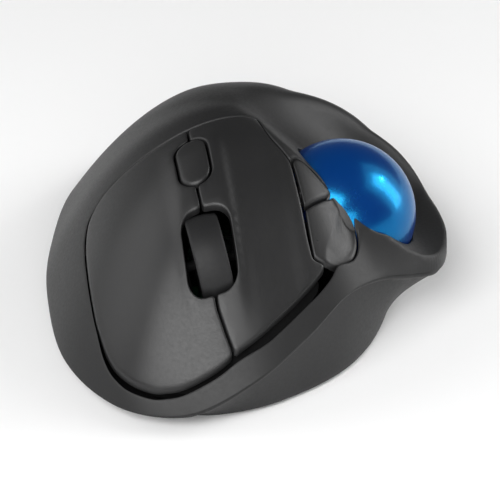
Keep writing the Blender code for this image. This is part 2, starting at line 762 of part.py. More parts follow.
def ball_and_socket():
    sphere("trackball", BALL_AT, BALL_R, BALL_GLOSS, PARTS, 36)
    inner, outer = SOCKET_R
    start = math.acos(SOCKET_EDGE / inner)
    steps = 12
    sweep = [start + (math.pi - start) * i / steps for i in range(steps + 1)]
    inside_arc = [(inner * math.sin(a), inner * math.cos(a)) for a in sweep]
    outside_arc = [(outer * math.sin(a), outer * math.cos(a)) for a in sweep]
    profile = [(0.0, -inner)] + inside_arc[-2::-1] + outside_arc[:-1] + [(0.0, -outer)]
    socket = turned("ball_socket", profile, INNER, PARTS, 32)
    socket.parent = socket_axis()
    x, y, z = BALL_AT
    cut(socket, round_cutter("socket_push_hole", (x, y, z - 18), PUSH_HOLE_R, 12, 32))
    window = point_on_ball(SENSOR_DIRECTION, 18)
    cut(socket, round_cutter("socket_window", window, 3.6, 8, 20, SENSOR_DIRECTION))
    for number, direction in enumerate(bearing_directions(), 1):
        at = point_on_ball(direction, BALL_R + BEARING_R + 0.03)
        sphere(f"bearing_{number}", at, BEARING_R, CERAMIC, PARTS, 12)
        pocket = sphere(f"bearing_{number}_pocket", at, BEARING_R + 0.15, None, CUTTERS, 12)
        cut(socket, cutter(pocket))
    lens_at = point_on_ball(SENSOR_DIRECTION, 18.9)
    cylinder("sensor_lens", lens_at, 3.3, 1.6, LENS, PARTS, 20, SENSOR_DIRECTION)
    module = box("sensor_module", point_on_ball(SENSOR_DIRECTION, 21.4), (11, 11, 2.4), BOARD, PARTS)
    module.rotation_euler = SENSOR_DIRECTION.to_track_quat("Z", "Y").to_euler()


# Scroll wheel
def wheel_point(x, y, z):
    """A place given in the tilted wheel's own directions."""
    tilt = Matrix.Rotation(WHEEL_TILT, 3, "Y")
    return tuple(Vector(WHEEL_AT) + tilt @ Vector((x, y, z)))


def wheel_piece(piece, x=0.0, y=0.0, z=0.0, along_axle=True):
    piece.location = [v * MM for v in wheel_point(x, y, z)]
    turn = Matrix.Rotation(WHEEL_TILT, 3, "Y")
    if along_axle:
        turn = turn @ Matrix.Rotation(math.pi / 2, 3, "Y")
    piece.rotation_euler = turn.to_euler()
    return piece


def scroll_wheel():
    half, radius = WHEEL_HALF, WHEEL_R
    upper_side = [(8.6, half), (radius - 1.0, half), (radius - 0.25, half - 0.6), (radius, half - 1.7)]
    tyre = upper_side + [(r, -z) for r, z in upper_side[::-1]]
    wheel_piece(turned("wheel_tyre", tyre, RUBBER, PARTS, 40, closed=True))
    outer_side = [(1.3, 3.4), (3.0, 3.4), (3.0, 1.2), (8.4, 1.2)]
    hub = outer_side + [(r, -z) for r, z in outer_side[::-1]]
    wheel_piece(turned("wheel_hub", hub, INNER, PARTS, 32, closed=True))
    wheel_piece(cylinder("wheel_axle", (0, 0, 0), AXLE_R, AXLE_LENGTH, INNER, PARTS, 16))
    encoder = box("wheel_encoder", (0, 0, 0), ENCODER_SIZE, SWITCH, PARTS)
    wheel_piece(encoder, *ENCODER_AT, False)
    cut(encoder, wheel_piece(round_cutter("encoder_bore", (0, 0, 0), BORE_R, 30, 16)))
    carrier = box("wheel_carrier", (0, 0, 0), CARRIER_SIZE, INNER, PARTS)
    wheel_piece(carrier, *CARRIER_AT, False)
    room = box_cutter("carrier_room", (0, 0, 0), CARRIER_ROOM_SIZE)
    cut(carrier, wheel_piece(room, *CARRIER_ROOM_AT, False))
    cut(carrier, wheel_piece(round_cutter("carrier_bore", (0, 0, 0), BORE_R, 30, 16)))


# Inside
def switch_body(name, at, low):
    x, y = at
    width, length, height = SWITCH_SIZE
    box(name, (x, y, low + height / 2), (width, length, height), SWITCH, PARTS)


def tilted_switch(name, at, depth, size):
    """A small switch lying parallel to the casing's surface at a depth below it."""
    x, y = at
    way = normal_at(x, y)
    centre = Vector((x, y, float(top(x, y)))) - way * depth
    piece = box(name, centre, size, SWITCH, PARTS)
    piece.rotation_euler = way.to_track_quat("Z", "Y").to_euler()


def prism(name, outline, low, high, material):
    """A flat piece with the outline seen from above."""
    count = len(outline)
    points = [(x, y, low) for x, y in outline] + [(x, y, high) for x, y in outline]
    faces = [tuple(range(count))[::-1], tuple(range(count, 2 * count))]
    faces += [(i, (i + 1) % count, (i + 1) % count + count, i + count) for i in range(count)]
    return add_mesh(name, points, faces, material, PARTS)


def electronics():
    low, high = PCB_Z
    prism("main_pcb", PCB_OUTLINE, low, high, BOARD)
    switch_body("left_switch", LEFT_SWITCH_AT, high + 0.1)
    switch_body("right_switch", RIGHT_SWITCH_AT, high + 0.1)
    x, y, _ = wheel_point(0, 0, -13.8)
    box("middle_switch", (x, y, high + 2.1), (6, 6, 4.0), SWITCH, PARTS)
    tilted_switch("dpi_switch", DPI_AT, 3.2, (4.4, 4.4, 1.2))
    for name, at in (("back_switch", BACK_FINGER_AT), ("forward_switch", FORWARD_FINGER_AT)):
        finger_low = float(top(*at)) - FINGER_DEPTH - FINGER_SIZE[2] / 2
        under = finger_low - SIDE_SWITCH_GAP - SIDE_SWITCH_SIZE[2] / 2
        box(name, (at[0] + SIDE_SWITCH_SHIFT, at[1], under), SIDE_SWITCH_SIZE, SWITCH, PARTS)


def power():
    x, y, z = BATTERY_AT
    half, radius = BATTERY_HALF, BATTERY_R
    can = [(0, half), (2.6, half), (2.6, half - 1.2), (radius, half - 1.2), (radius, -half), (0, -half)]
    battery = turned("battery", can, CELL, PARTS, 28)
    battery.location = (x * MM, y * MM, z * MM)
    battery.rotation_euler = (-math.pi / 2, 0, 0)
    cradle = box("battery_cradle", CRADLE_AT, CRADLE_SIZE, INNER, PARTS)
    cut(cradle, round_cutter("cradle_room", (x, -16, z), radius + 0.3, 60, 28, (0, 1, 0)))
    cut(cradle, box_cutter("cradle_mouth", (x, -14, z - 6), (2 * radius + 0.6, 60, 12)))
    box("battery_contact", (x, y + half + 0.6, z), (9, 0.5, 9), STEEL, PARTS)
    spring_wire(x, y - half - 0.4, z)
    door()
    slide = box("power_slider", (*SLIDER_AT, 1.9), SLIDER_KNOB, FOOT, PARTS)
    cut(slide, box_cutter("slider_flange", (*SLIDER_AT, 3.55), SLIDER_FLANGE), "UNION")


def spring_wire(x, y, z):
    """A coil that narrows to the rear, at the battery's flat end."""
    turns, per_turn, wire = 3, 12, 0.35
    curve = bpy.data.curves.new("battery_spring", "CURVE")
    curve.dimensions = "3D"
    curve.bevel_depth = wire * MM
    curve.bevel_resolution = 2
    curve.use_fill_caps = True
    line = curve.splines.new("POLY")
    count = turns * per_turn + 1
    line.points.add(count - 1)
    for i in range(count):
        turn = 2 * math.pi * i / per_turn
        radius = 2.6 + 2.2 * i / (count - 1)
        place = (x + radius * math.cos(turn), y - 4.2 * i / (count - 1), z + radius * math.sin(turn))
        line.points[i].co = (*[v * MM for v in place], 1)
    curve.materials.append(STEEL)
    PARTS.objects.link(bpy.data.objects.new("battery_spring", curve))


def door():
    """A flat cover that slides out at the rear edge of the underside, its end following that edge."""
    base = np.array(APEX) + (closed_spline(BASE, 3) - np.array(APEX)) * 0.975
    piece = prism("battery_door", base, CASE_LOW + 0.05, FLOOR_TOP - 0.3, CASING)
    length = DOOR_FRONT + DOOR_REACH
    middle = (BATTERY_AT[0], DOOR_FRONT - length / 2, 2)
    cut(piece, box_cutter("door_window", middle, (2 * DOOR_HALF, length, 8)), "INTERSECT")


def receiver():
    """The wireless receiver parked upright in a socket under the floor."""
    x, y = RECEIVER_AT
    tray = box("receiver_tray", (x, y, 9.6), (16.2, 9.2, 12.8), INNER, PARTS)
    cut(tray, box_cutter("tray_room", (x, y, 8.4), (*RECEIVER_ROOM, 13.4)))
    head = box("usb_receiver", (x, y, 3.6), (13.2, 6.2, 5.2), SWITCH, PARTS)
    cut(head, box_cutter("receiver_plug", (x, y, 10), (12, 4.5, 8.6)), "UNION")


def feet_and_screws():
    for name, (x, y, radius) in FEET.items():
        cylinder(name, (x, y, 0.55), radius, 1.1, FOOT, PARTS, 28)
    for name, (x, y) in SCREWS.items():
        profile = [(0, 6.5), (1.15, 6.5), (1.15, 2.0), (2.4, 2.0), (2.4, 1.0), (0, 1.0)]
        piece = turned(name, profile, STEEL, PARTS, 16)
        piece.location = (x * MM, y * MM, 0)


bottom_case()
top_shell()
click_plate("left_button", -1, LEFT_SWITCH_AT)
click_plate("right_button", 1, RIGHT_SWITCH_AT)
button_frame()
resolution_key()
side_key("back_button", BACK_OUTLINE, BACK_FINGER_AT)
side_key("forward_button", FORWARD_OUTLINE, FORWARD_FINGER_AT)
ball_and_socket()
scroll_wheel()
electronics()
power()
receiver()
feet_and_screws()
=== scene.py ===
"""Looks of the thumb trackball mouse: fine shells, keys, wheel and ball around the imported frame.

Shape functions work in millimetres, as in part.py, and meshes are scaled to metres when they are made.
"""

import math

import bmesh
import bpy
import numpy as np
from mathutils import Matrix, Vector
from mathutils.geometry import delaunay_2d_cdt

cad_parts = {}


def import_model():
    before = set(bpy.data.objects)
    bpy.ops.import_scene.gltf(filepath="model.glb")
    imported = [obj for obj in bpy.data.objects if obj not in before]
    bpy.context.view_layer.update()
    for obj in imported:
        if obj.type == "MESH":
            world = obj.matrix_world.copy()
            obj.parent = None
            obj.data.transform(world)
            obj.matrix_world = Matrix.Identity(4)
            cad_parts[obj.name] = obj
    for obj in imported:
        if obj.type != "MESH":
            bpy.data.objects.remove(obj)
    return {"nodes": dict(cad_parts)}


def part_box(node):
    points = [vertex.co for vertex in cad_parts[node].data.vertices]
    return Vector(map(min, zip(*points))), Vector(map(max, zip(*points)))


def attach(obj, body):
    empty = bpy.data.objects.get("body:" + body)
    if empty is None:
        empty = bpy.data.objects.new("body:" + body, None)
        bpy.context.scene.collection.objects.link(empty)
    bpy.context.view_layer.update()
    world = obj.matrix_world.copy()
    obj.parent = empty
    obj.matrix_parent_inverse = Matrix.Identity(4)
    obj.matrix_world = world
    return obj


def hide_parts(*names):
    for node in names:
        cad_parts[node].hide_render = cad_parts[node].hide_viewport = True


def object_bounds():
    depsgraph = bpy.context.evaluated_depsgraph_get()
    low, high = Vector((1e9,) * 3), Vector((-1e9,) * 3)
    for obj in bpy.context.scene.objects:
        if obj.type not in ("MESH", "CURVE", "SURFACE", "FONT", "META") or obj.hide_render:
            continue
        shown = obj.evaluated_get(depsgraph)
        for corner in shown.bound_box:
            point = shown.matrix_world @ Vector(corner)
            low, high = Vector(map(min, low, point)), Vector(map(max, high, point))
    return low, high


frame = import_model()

CAD_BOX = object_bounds()
MM = 0.001

# Casing
SHELL_THICK = 2.0
# Upright thickness of a sloping wall, as a share of its true one
SLOPE = 1.25
SEAM_GAP = 0.3
CASE_LOW = 0.8
FLOOR_TOP = 2.8
APEX = (-3.0, 1.5)
CREST = 46.8
WING_LEVEL = 16.8

# Parting line between the casing halves: x, y, z, anticlockwise from the little-finger side
RIM = (
    (45.9, 8, 3.6), (44.6, 34, 3.6), (35.5, 52.5, 3.6), (21, 60.2, 5.0), (6, 59.4, 11.5),
    (-7, 53, 17.5), (-17, 45.5, 22.0), (-26, 38.5, 20.5), (-35, 33, 16.8), (-42.6, 27.6, 14.2),
    (-46.6, 15.5, 13.9), (-46.6, -2, 13.2), (-43.2, -20, 11.0), (-33.3, -41, 7.8), (-17, -56.5, 4.6),
    (2, -60.75, 4.0), (20, -56, 3.6), (35, -38, 3.6), (43, -13, 3.6),
)
# Outline of the underside
BASE = (
    (42.5, 8), (40, 33), (30.5, 49), (18, 55.8), (5, 55.5), (-7, 51), (-16, 45.5), (-22.5, 39),
    (-27.5, 31.5), (-32, 22), (-35, 11.5), (-36, -3), (-34, -20), (-27, -40), (-13, -53.5),
    (2, -57.5), (18, -53), (32.5, -36), (40, -12),
)
# How full the dome is by direction from the apex: degrees, two exponents
FULLNESS = (
    (-180, 4.0, 1.8), (-150, 2.3, 1.2), (-120, 1.9, 1.0), (-90, 1.85, 0.95), (-45, 1.9, 1.0),
    (0, 2.1, 1.15), (45, 2.1, 1.1), (90, 2.0, 1.0), (115, 2.1, 1.0), (140, 3.2, 1.5),
    (160, 4.0, 1.8), (180, 4.0, 1.8),
)

# Click plates, seen from above. The last stretch runs back along the thumb-side crease.
PANEL_ROUND = (
    (-3.4, 6.9), (3.7, 6.6), (11.6, 6.4), (18.5, 6.3), (22.8, 5.8), (27.7, 5.3), (32.2, 5.5),
    (35.2, 7.9), (36.6, 12.5), (37.3, 18.2), (37.6, 25.4), (37.6, 31), (37.4, 35.9), (36.9, 39.5),
    (36.2, 43.3), (35.1, 46.5), (33.7, 49.0), (31.9, 51.3), (29.7, 53.2), (27.1, 54.8),
    (24.4, 55.7), (21.5, 56.3), (17.6, 56.4), (13.2, 55.9), (8.5, 54.4), (4.0, 52.8), (-0.8, 50.2),
    (-5.8, 47.0), (-8.8, 45.0), (-11.3, 42.9), (-12.3, 41.8),
)
PANEL_THUMB = (
    (-9.8, 41.2), (-9.3, 37.5), (-9.1, 32), (-8.7, 26), (-8.3, 21.6), (-6.6, 17.8), (-5.1, 14.6),
    (-4.0, 10.8),
)
GROOVE_WIDEN = 0.95
GROOVE_START = 37.0
GROOVE_RUN = 14.0
THUMB_WIDEN = 0.8
THUMB_START = 11.0
THUMB_RUN = 8.0
SEAM_OPEN = 0.5
STRIP_RISE = 0.75
GROOVE_SINK = 0.7
# Seam between the plates: its x at each y
SEAM_ALONG = (4.0, 11.0, 24.7, 30.0, 45.9, 49.7, 52.9, 56.1, 60.0)
SEAM_ACROSS = (12.0, 12.5, 13.0, 12.8, 12.4, 11.7, 10.7, 9.5, 8.0)
DPI_AT = (12.8, 17.8)
DPI_HALF = (3.3, 6.6)
DPI_GAP = 0.5
SLOT_AT = (12.4, 37.8)
SLOT_HALF = (5.4, 7.9)
SLOT_CORNER = 3.6
BACK_RUNS = (
    ((-8.9, 21.9), (-9.4, 21.0), (-10.1, 20.6)),
    ((-10.1, 20.6), (-11.9, 21.5), (-14.2, 24.0), (-16.6, 27.1)),
    ((-16.6, 27.1), (-13.2, 29.3), (-9.7, 31.4)),
    ((-9.7, 31.4), (-9.3, 26), (-8.9, 21.9)),
)
FORWARD_RUNS = (
    ((-9.8, 32.1), (-13.4, 29.9), (-16.9, 27.7)),
    ((-16.9, 27.7), (-19.4, 29.3), (-20.9, 32.0), (-20.8, 35.4), (-18.9, 38.8), (-14.9, 41.1)),
    ((-14.9, 41.1), (-12.4, 41.4), (-10.1, 40.6)),
    ((-10.1, 40.6), (-9.9, 37), (-9.8, 32.1)),
)

# Ball
BALL_AT = (-21.4, 16.3, 24.0)
BALL_R = 17.0
OPENING_NORMAL = Vector((-0.703, -0.162, 0.692)).normalized()
OPENING_OFFSET = 4.3
OPENING_R = 17.15
SOCKET_R = (17.6, 19.0)
# How near the shell and the keys come to the ball's centre
RIM_CLEAR_R = SOCKET_R[0] - 0.3

# Scroll wheel
WHEEL_AT = (11.6, 34.2, 26.2)
WHEEL_TILT = math.radians(10)
WHEEL_R = 10.9
WHEEL_HALF = 3.9
TYRE_BORE = 8.6
TYRE_ROUNDING = 2.6

# Fineness of the visible meshes
STEP = 1.15
EDGE_STEP = 0.6
FILLET = 0.45
# Rows of points across a rounded lip, as shares of its width
LIP_ROWS = (0.13, 0.5, 1.0)


# Curves and surfaces
def spline_piece(a, b, c, d, per):
    """Points of a Catmull-Rom curve from b up to, but not at, c."""
    t = (np.arange(per) / per)[:, None]
    square = (2 * a - 5 * b + 4 * c - d) * t**2
    cube = (3 * b - a - 3 * c + d) * t**3
    return 0.5 * (2 * b + (c - a) * t + square + cube)


def closed_spline(points, per):
    """Points along the closed curve through the given ones."""
    points = np.asarray(points, float)
    count = len(points)
    runs = []
    for i in range(count):
        following = points[(i + 1) % count], points[(i + 2) % count]
        runs.append(spline_piece(points[i - 1], points[i], *following, per))
    return np.vstack(runs)


def open_spline(points, per):
    """Points along the curve through the given ones, from the first to the last."""
    points = np.asarray(points, float)
    padded = np.vstack([2 * points[0] - points[1], points, 2 * points[-1] - points[-2]])
    fours = zip(padded, padded[1:], padded[2:], padded[3:])
    runs = [spline_piece(*four, per) for four in fours]
    return np.vstack(runs + [points[-1:]])


def polar_table(outline, centre):
    """Angle, distance and height of an outline about a centre, over three turns."""
    dense = closed_spline(outline, 24)
    angle = np.arctan2(dense[:, 1] - centre[1], dense[:, 0] - centre[0])
    radius = np.hypot(dense[:, 0] - centre[0], dense[:, 1] - centre[1])
    order = np.argsort(angle)
    angle = angle[order]
    angles = np.concatenate([angle - 2 * np.pi, angle, angle + 2 * np.pi])
    height = dense[order, 2] if dense.shape[1] > 2 else np.zeros(len(dense))
    return angles, np.tile(radius[order], 3), np.tile(height, 3)


RIM_TABLE = polar_table(RIM, APEX)
BASE_TABLE = polar_table(BASE, APEX)


def rim_at(angle):
    """Radius and height of the parting line in a direction from the apex."""
    return np.interp(angle, RIM_TABLE[0], RIM_TABLE[1]), np.interp(angle, RIM_TABLE[0], RIM_TABLE[2])


def eased(x, stations, values):
    i = np.clip(np.searchsorted(stations, x) - 1, 0, len(stations) - 2)
    t = (x - stations[i]) / (stations[i + 1] - stations[i])
    t = t * t * (3 - 2 * t)
    return values[i] * (1 - t) + values[i + 1] * t


def step_up(x, low, high):
    t = np.clip((x - low) / (high - low), 0, 1)
    return t * t * (3 - 2 * t)


def smooth_max(a, b, width):
    return 0.5 * (a + b + np.sqrt((a - b) ** 2 + width**2))


def smooth_min(a, b, width):
    return 0.5 * (a + b - np.sqrt((a - b) ** 2 + width**2))


def dome(x, y):
    """The palm rest: from the parting line up to the crest."""
    angle = np.arctan2(y - APEX[1], x - APEX[0])
    radius, low = rim_at(angle)
    stations, first, second = np.array(FULLNESS, float).T
    turn = np.degrees(angle)
    share = np.clip(np.hypot(x - APEX[0], y - APEX[1]) / radius, 0, 1)
    rise = (1 - share ** eased(turn, stations, first)) ** (1 / eased(turn, stations, second))
    return low + (CREST - low) * rise


def valley(x, y):
    """The thumb side: the ball opening's plane, the wing beyond it and the scoop behind it."""
    across = OPENING_NORMAL.x * (x - BALL_AT[0]) + OPENING_NORMAL.y * (y - BALL_AT[1])
    plane = BALL_AT[2] + (OPENING_OFFSET - across) / OPENING_NORMAL.z
    behind = np.maximum(0, 2.0 - y)
    return smooth_max(plane, WING_LEVEL, 6.0) + 0.05 * behind**2


def relief(x, y):
    """The raised strip that carries the wheel and the key, and the finger groove beside it."""
    across = step_up(x, 5.0, 6.9) * (1 - step_up(x, 17.0, 20.0))
    strip = across * (1 - step_up(y, 40, 54)) * step_up(y, 7, 16)
    groove = np.exp(-(((x + 1.5) / 6.0) ** 2)) * step_up(y, 8, 26) * (1 - step_up(y, 44, 57))
    return STRIP_RISE * strip - GROOVE_SINK * groove * step_up(x, -9, -5)


def top(x, y):
    """Height of the outside of the casing over a point seen from above."""
    x, y = np.asarray(x, float), np.asarray(y, float)
    return smooth_min(dome(x, y), valley(x, y), np.interp(y, (-10, 5, 18), (6, 3, 0.35)))


def panel_top(x, y):
    return top(x, y) + relief(np.asarray(x, float), np.asarray(y, float))


# Outlines
def rounded_box(centre, half, corner, per=10):
    """A rounded rectangle as a closed outline, anticlockwise."""
    points = []
    for quarter, (sx, sy) in enumerate(((1, 1), (-1, 1), (-1, -1), (1, -1))):
        middle = (centre[0] + sx * (half[0] - corner), centre[1] + sy * (half[1] - corner))
        for i in range(per + 1):
            angle = math.pi / 2 * (quarter + i / per)
            points.append((middle[0] + corner * math.cos(angle), middle[1] + corner * math.sin(angle)))
    return np.array(points)


def offset(outline, distance):
    """The closed outline moved to its right by a distance, or by one distance per point."""
    before = outline - np.roll(outline, 1, axis=0)
    after = np.roll(outline, -1, axis=0) - outline
    before /= np.linalg.norm(before, axis=1, keepdims=True)
    after /= np.linalg.norm(after, axis=1, keepdims=True)
    out = np.column_stack([before[:, 1] + after[:, 1], -before[:, 0] - after[:, 0]])
    out /= np.linalg.norm(out, axis=1, keepdims=True)
    facing = np.clip(out[:, 0] * after[:, 1] - out[:, 1] * after[:, 0], 0.6, 1)
    return outline + out * (np.asarray(distance) / facing)[:, None]


def area(outline):
    x, y = outline[:, 0], outline[:, 1]
    return 0.5 * float(np.sum(x * np.roll(y, -1) - y * np.roll(x, -1)))


def anticlockwise(outline):
    return outline if area(outline) > 0 else outline[::-1]


def resampled(outline, spacing):
    """The closed outline with evenly spaced points."""
    closed = np.vstack([outline, outline[:1]])
    lengths = np.concatenate([[0], np.cumsum(np.linalg.norm(np.diff(closed, axis=0), axis=1))])
    count = max(12, int(round(lengths[-1] / spacing)))
    at = np.arange(count) * lengths[-1] / count
    return np.column_stack([np.interp(at, lengths, closed[:, 0]), np.interp(at, lengths, closed[:, 1])])


def softened(outline, radius, spacing=0.15):
    """The closed outline with its corners rounded."""
    dense = resampled(outline, spacing)
    reach = max(1, int(radius / spacing))
    for _ in range(2):
        total = sum(np.roll(dense, shift, axis=0) for shift in range(-reach, reach + 1))
        dense = total / (2 * reach + 1)
    return dense


def outline_of(runs, per=10):
    """A closed outline from smooth runs that meet at corners."""
    return anticlockwise(np.vstack([open_spline(run, per)[:-1] for run in runs]))


def panel_outline():
    return anticlockwise(np.vstack([open_spline(PANEL_ROUND, 8), open_spline(PANEL_THUMB, 6)]))


def panel_hole():
    """The opening for the click plates: a fine seam that widens to a groove along the front."""
    outline = panel_outline()
    x, y = outline.T
    front = np.clip((y - GROOVE_START) / GROOVE_RUN, 0, 1)
    thumb = np.clip((THUMB_START - x) / THUMB_RUN, 0, 1) * (y > 41.5)
    gap = SEAM_GAP + GROOVE_WIDEN * np.maximum(front, thumb > 0) + THUMB_WIDEN * thumb
    by_the_keys = (x < -4.0) & (y < 41.5)
    return offset(outline, np.where(by_the_keys, SEAM_GAP * 0.5, gap))


def opening_ring(radius, count=160):
    """The ball opening's edge, seen from above."""
    across = OPENING_NORMAL.cross(Vector((0, 1, 0))).normalized()
    along = OPENING_NORMAL.cross(across)
    centre = Vector(BALL_AT) + OPENING_NORMAL * OPENING_OFFSET
    turns = [2 * math.pi * i / count for i in range(count)]
    ring = [centre + radius * (math.cos(t) * across + math.sin(t) * along) for t in turns]
    return anticlockwise(np.array([(p.x, p.y) for p in ring]))


def inside(outline, points):
    """Which points lie within a closed outline."""
    found = np.zeros(len(points), bool)
    for (x1, y1), (x2, y2) in zip(outline, np.roll(outline, -1, axis=0)):
        if y1 == y2:
            continue
        crosses = (y1 > points[:, 1]) != (y2 > points[:, 1])
        found ^= crosses & (points[:, 0] < x1 + (points[:, 1] - y1) * (x2 - x1) / (y2 - y1))
    return found


def distance_to(outline, points):
    """Distance of each point from a closed outline."""
    least = np.full(len(points), np.inf)
    for start, end in zip(outline, np.roll(outline, -1, axis=0)):
        way = end - start
        t = np.clip(((points - start) @ way) / max(way @ way, 1e-12), 0, 1)
        least = np.minimum(least, np.linalg.norm(points - start - t[:, None] * way, axis=1))
    return least


# Triangulated sheets
def triangles(outlines, extra, keep):
    """Triangles over a plan area bounded by outlines, with extra points inside it."""
    points, edges = [], []
    for outline in outlines:
        first = len(points)
        points += [tuple(p) for p in outline]
        edges += [(first + i, first + (i + 1) % len(outline)) for i in range(len(outline))]
    points += [tuple(p) for p in extra]
    verts, _, faces, *_ = delaunay_2d_cdt([Vector(p) for p in points], edges, [], 0, 1e-5, False)
    flat = np.array([tuple(v) for v in verts])
    faces = np.array([f for f in faces if len(f) == 3])
    faces = faces[keep(flat[faces].mean(axis=1))]
    used = np.unique(faces)
    renumber = np.zeros(len(flat), int)
    renumber[used] = np.arange(len(used))
    return flat[used], renumber[faces]


def border_edges(faces):
    """Directed edges that only one triangle has. The sheet lies on their left."""
    seen = {(int(a), int(b)) for face in faces for a, b in zip(face, np.roll(face, -1))}
    return [edge for edge in seen if edge[::-1] not in seen]


def border_loops(flat, faces):
    """The sheet's edges as closed outlines with the sheet on their left, the longest first."""
    following = dict(border_edges(faces))
    loops = []
    while following:
        start = next(iter(following))
        loop, at = [], start
        while at in following:
            loop.append(at)
            at = following.pop(at)
        loops.append(flat[loop])
    return sorted(loops, key=lambda loop: -abs(area(loop)))


def edged_sheet(outlines, keep, spacing, fillet=FILLET, rounding=0.5):
    """A fine sheet with rows of points beside its edges for a rounded lip.

    Returns the points, the triangles, and each point's distance from the edge.
    """
    borders = border_loops(*triangles(outlines, [], keep))
    loops = [resampled(softened(loop, rounding), EDGE_STEP) for loop in borders]
    rows = [loops]
    for share in LIP_ROWS:
        rows.append([offset(loop, -fillet * share) for loop in loops])
    outer = loops[0]

    def within(points):
        found = inside(outer, points)
        for hole in loops[1:]:
            found &= ~inside(hole, points)
        return found

    low, high = outer.min(axis=0), outer.max(axis=0)
    across = np.arange(low[0], high[0], spacing)
    along = np.arange(low[1], high[1], spacing * 0.87)
    grid = [(x + spacing * 0.5 * (i % 2), y) for i, y in enumerate(along) for x in across]
    extra = np.array(grid)
    extra = extra[within(extra)]
    for loop in loops:
        extra = extra[distance_to(loop, extra) > fillet + 0.45 * min(spacing, EDGE_STEP * 1.6)]
    flat, faces = triangles([loop for row in rows for loop in row], extra, within)
    away = np.min([distance_to(loop, flat) for loop in loops], axis=0)
    return flat, faces, away


def lip_drop(away, fillet=FILLET):
    """How far a rounded lip falls below the surface at a distance from the edge."""
    inward = np.clip(fillet - away, 0, fillet)
    return fillet - np.sqrt(np.maximum(fillet**2 - inward**2, 0))


def clear_of_ball(points, radius):
    """Points that would reach into the ball's space, moved out to its surface."""
    away = points - np.array(BALL_AT)
    distance = np.linalg.norm(away, axis=1, keepdims=True)
    return np.where(distance < radius, np.array(BALL_AT) + away * radius / distance, points)


# Objects
def shade(mesh, sharp):
    """Smooth shading, with edges kept sharp where faces meet at more than an angle in degrees."""
    mesh.polygons.foreach_set("use_smooth", [True] * len(mesh.polygons))
    mesh.set_sharp_from_angle(angle=math.radians(sharp))


def add_mesh(name, points, faces, material, sharp=40):
    """A mesh from points in millimetres, none of them outside the CAD's whole box."""
    points = np.clip(np.array(points, float), *np.array(CAD_BOX) / MM)
    mesh = bpy.data.meshes.new(name)
    corners = [tuple(MM * float(v) for v in p) for p in points]
    mesh.from_pydata(corners, [], [tuple(map(int, f)) for f in faces])
    piece = bpy.data.objects.new(name, mesh)
    bpy.context.scene.collection.objects.link(piece)
    mesh.materials.append(material)
    work = bmesh.new()
    work.from_mesh(mesh)
    bmesh.ops.remove_doubles(work, verts=work.verts, dist=2e-7)
    bmesh.ops.recalc_face_normals(work, faces=work.faces)
    work.to_mesh(mesh)
    work.free()
    shade(mesh, sharp)
    return piece


def between(name, upper, lower, faces, material, sharp=40):
    """A closed body between two sheets that share one triangulation."""
    count = len(upper)
    flipped = [(c + count, b + count, a + count) for a, b, c in faces]
    sides = [(b, a, a + count, b + count) for a, b in border_edges(faces)]
    skin = [tuple(f) for f in faces] + flipped + sides
    return add_mesh(name, np.vstack([upper, lower]), skin, material, sharp)


def lipped_plate(name, outlines, keep, surface, thickness, spacing, fillet, rounding):
    """A plate under a surface, with a rounded lip. The thickness is square to a sloping plate."""
    flat, faces, away = edged_sheet(outlines, keep, spacing, fillet, rounding)
    high = surface(flat[:, 0], flat[:, 1])
    upper = clear_of_ball(np.column_stack([flat, high - lip_drop(away, fillet)]), RIM_CLEAR_R)
    lower = clear_of_ball(np.column_stack([flat, high - thickness * SLOPE]), RIM_CLEAR_R)
    return between(name, upper, lower, faces, KEYS)


def stand_for(piece, node, body):
    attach(piece, body)
    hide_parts(node)
    return piece


def carved(piece, cutters, sharp=40):
    """The piece with the cutters' shapes taken out of it."""
    for cutter in cutters:
        modifier = piece.modifiers.new(cutter.name, "BOOLEAN")
        modifier.object = cutter
    bpy.context.view_layer.update()
    graph = bpy.context.evaluated_depsgraph_get()
    mesh = bpy.data.meshes.new_from_object(piece.evaluated_get(graph))
    piece.modifiers.clear()
    piece.data = mesh
    for cutter in cutters:
        bpy.data.objects.remove(cutter, do_unlink=True)
    shade(mesh, sharp)
    return piece


def block(name, centre, size, bevel, material):
    """A box with rounded edges."""
    mesh = bpy.data.meshes.new(name)
    work = bmesh.new()
    bmesh.ops.create_cube(work, size=1)
    bmesh.ops.scale(work, vec=[s * MM for s in size], verts=work.verts)
    if bevel:
        edges, wide = work.edges[:], bevel * MM
        bmesh.ops.bevel(work, geom=edges, offset=wide, segments=4, profile=0.5, affect="EDGES")
    bmesh.ops.transform(work, matrix=Matrix.Translation(Vector(centre) * MM), verts=work.verts)
    work.to_mesh(mesh)
    work.free()
    mesh.materials.append(material)
    shade(mesh, 30)
    piece = bpy.data.objects.new(name, mesh)
    bpy.context.scene.collection.objects.link(piece)
    return piece


def rounded_profile(points, radius, closed=False, per=4):
    """A profile with its corners rounded."""
    points = [np.array(p, float) for p in points]
    count = len(points)
    found = []
    for i, corner in enumerate(points):
        if not closed and i in (0, count - 1):
            found.append(corner)
            continue
        before, after = points[i - 1], points[(i + 1) % count]
        back, on = before - corner, after - corner
        reach = min(radius, 0.45 * np.linalg.norm(back), 0.45 * np.linalg.norm(on))
        start = corner + back / np.linalg.norm(back) * reach
        end = corner + on / np.linalg.norm(on) * reach
        for j in range(per + 1):
            t = j / per
            found.append((1 - t) ** 2 * start + 2 * t * (1 - t) * corner + t**2 * end)
    return found


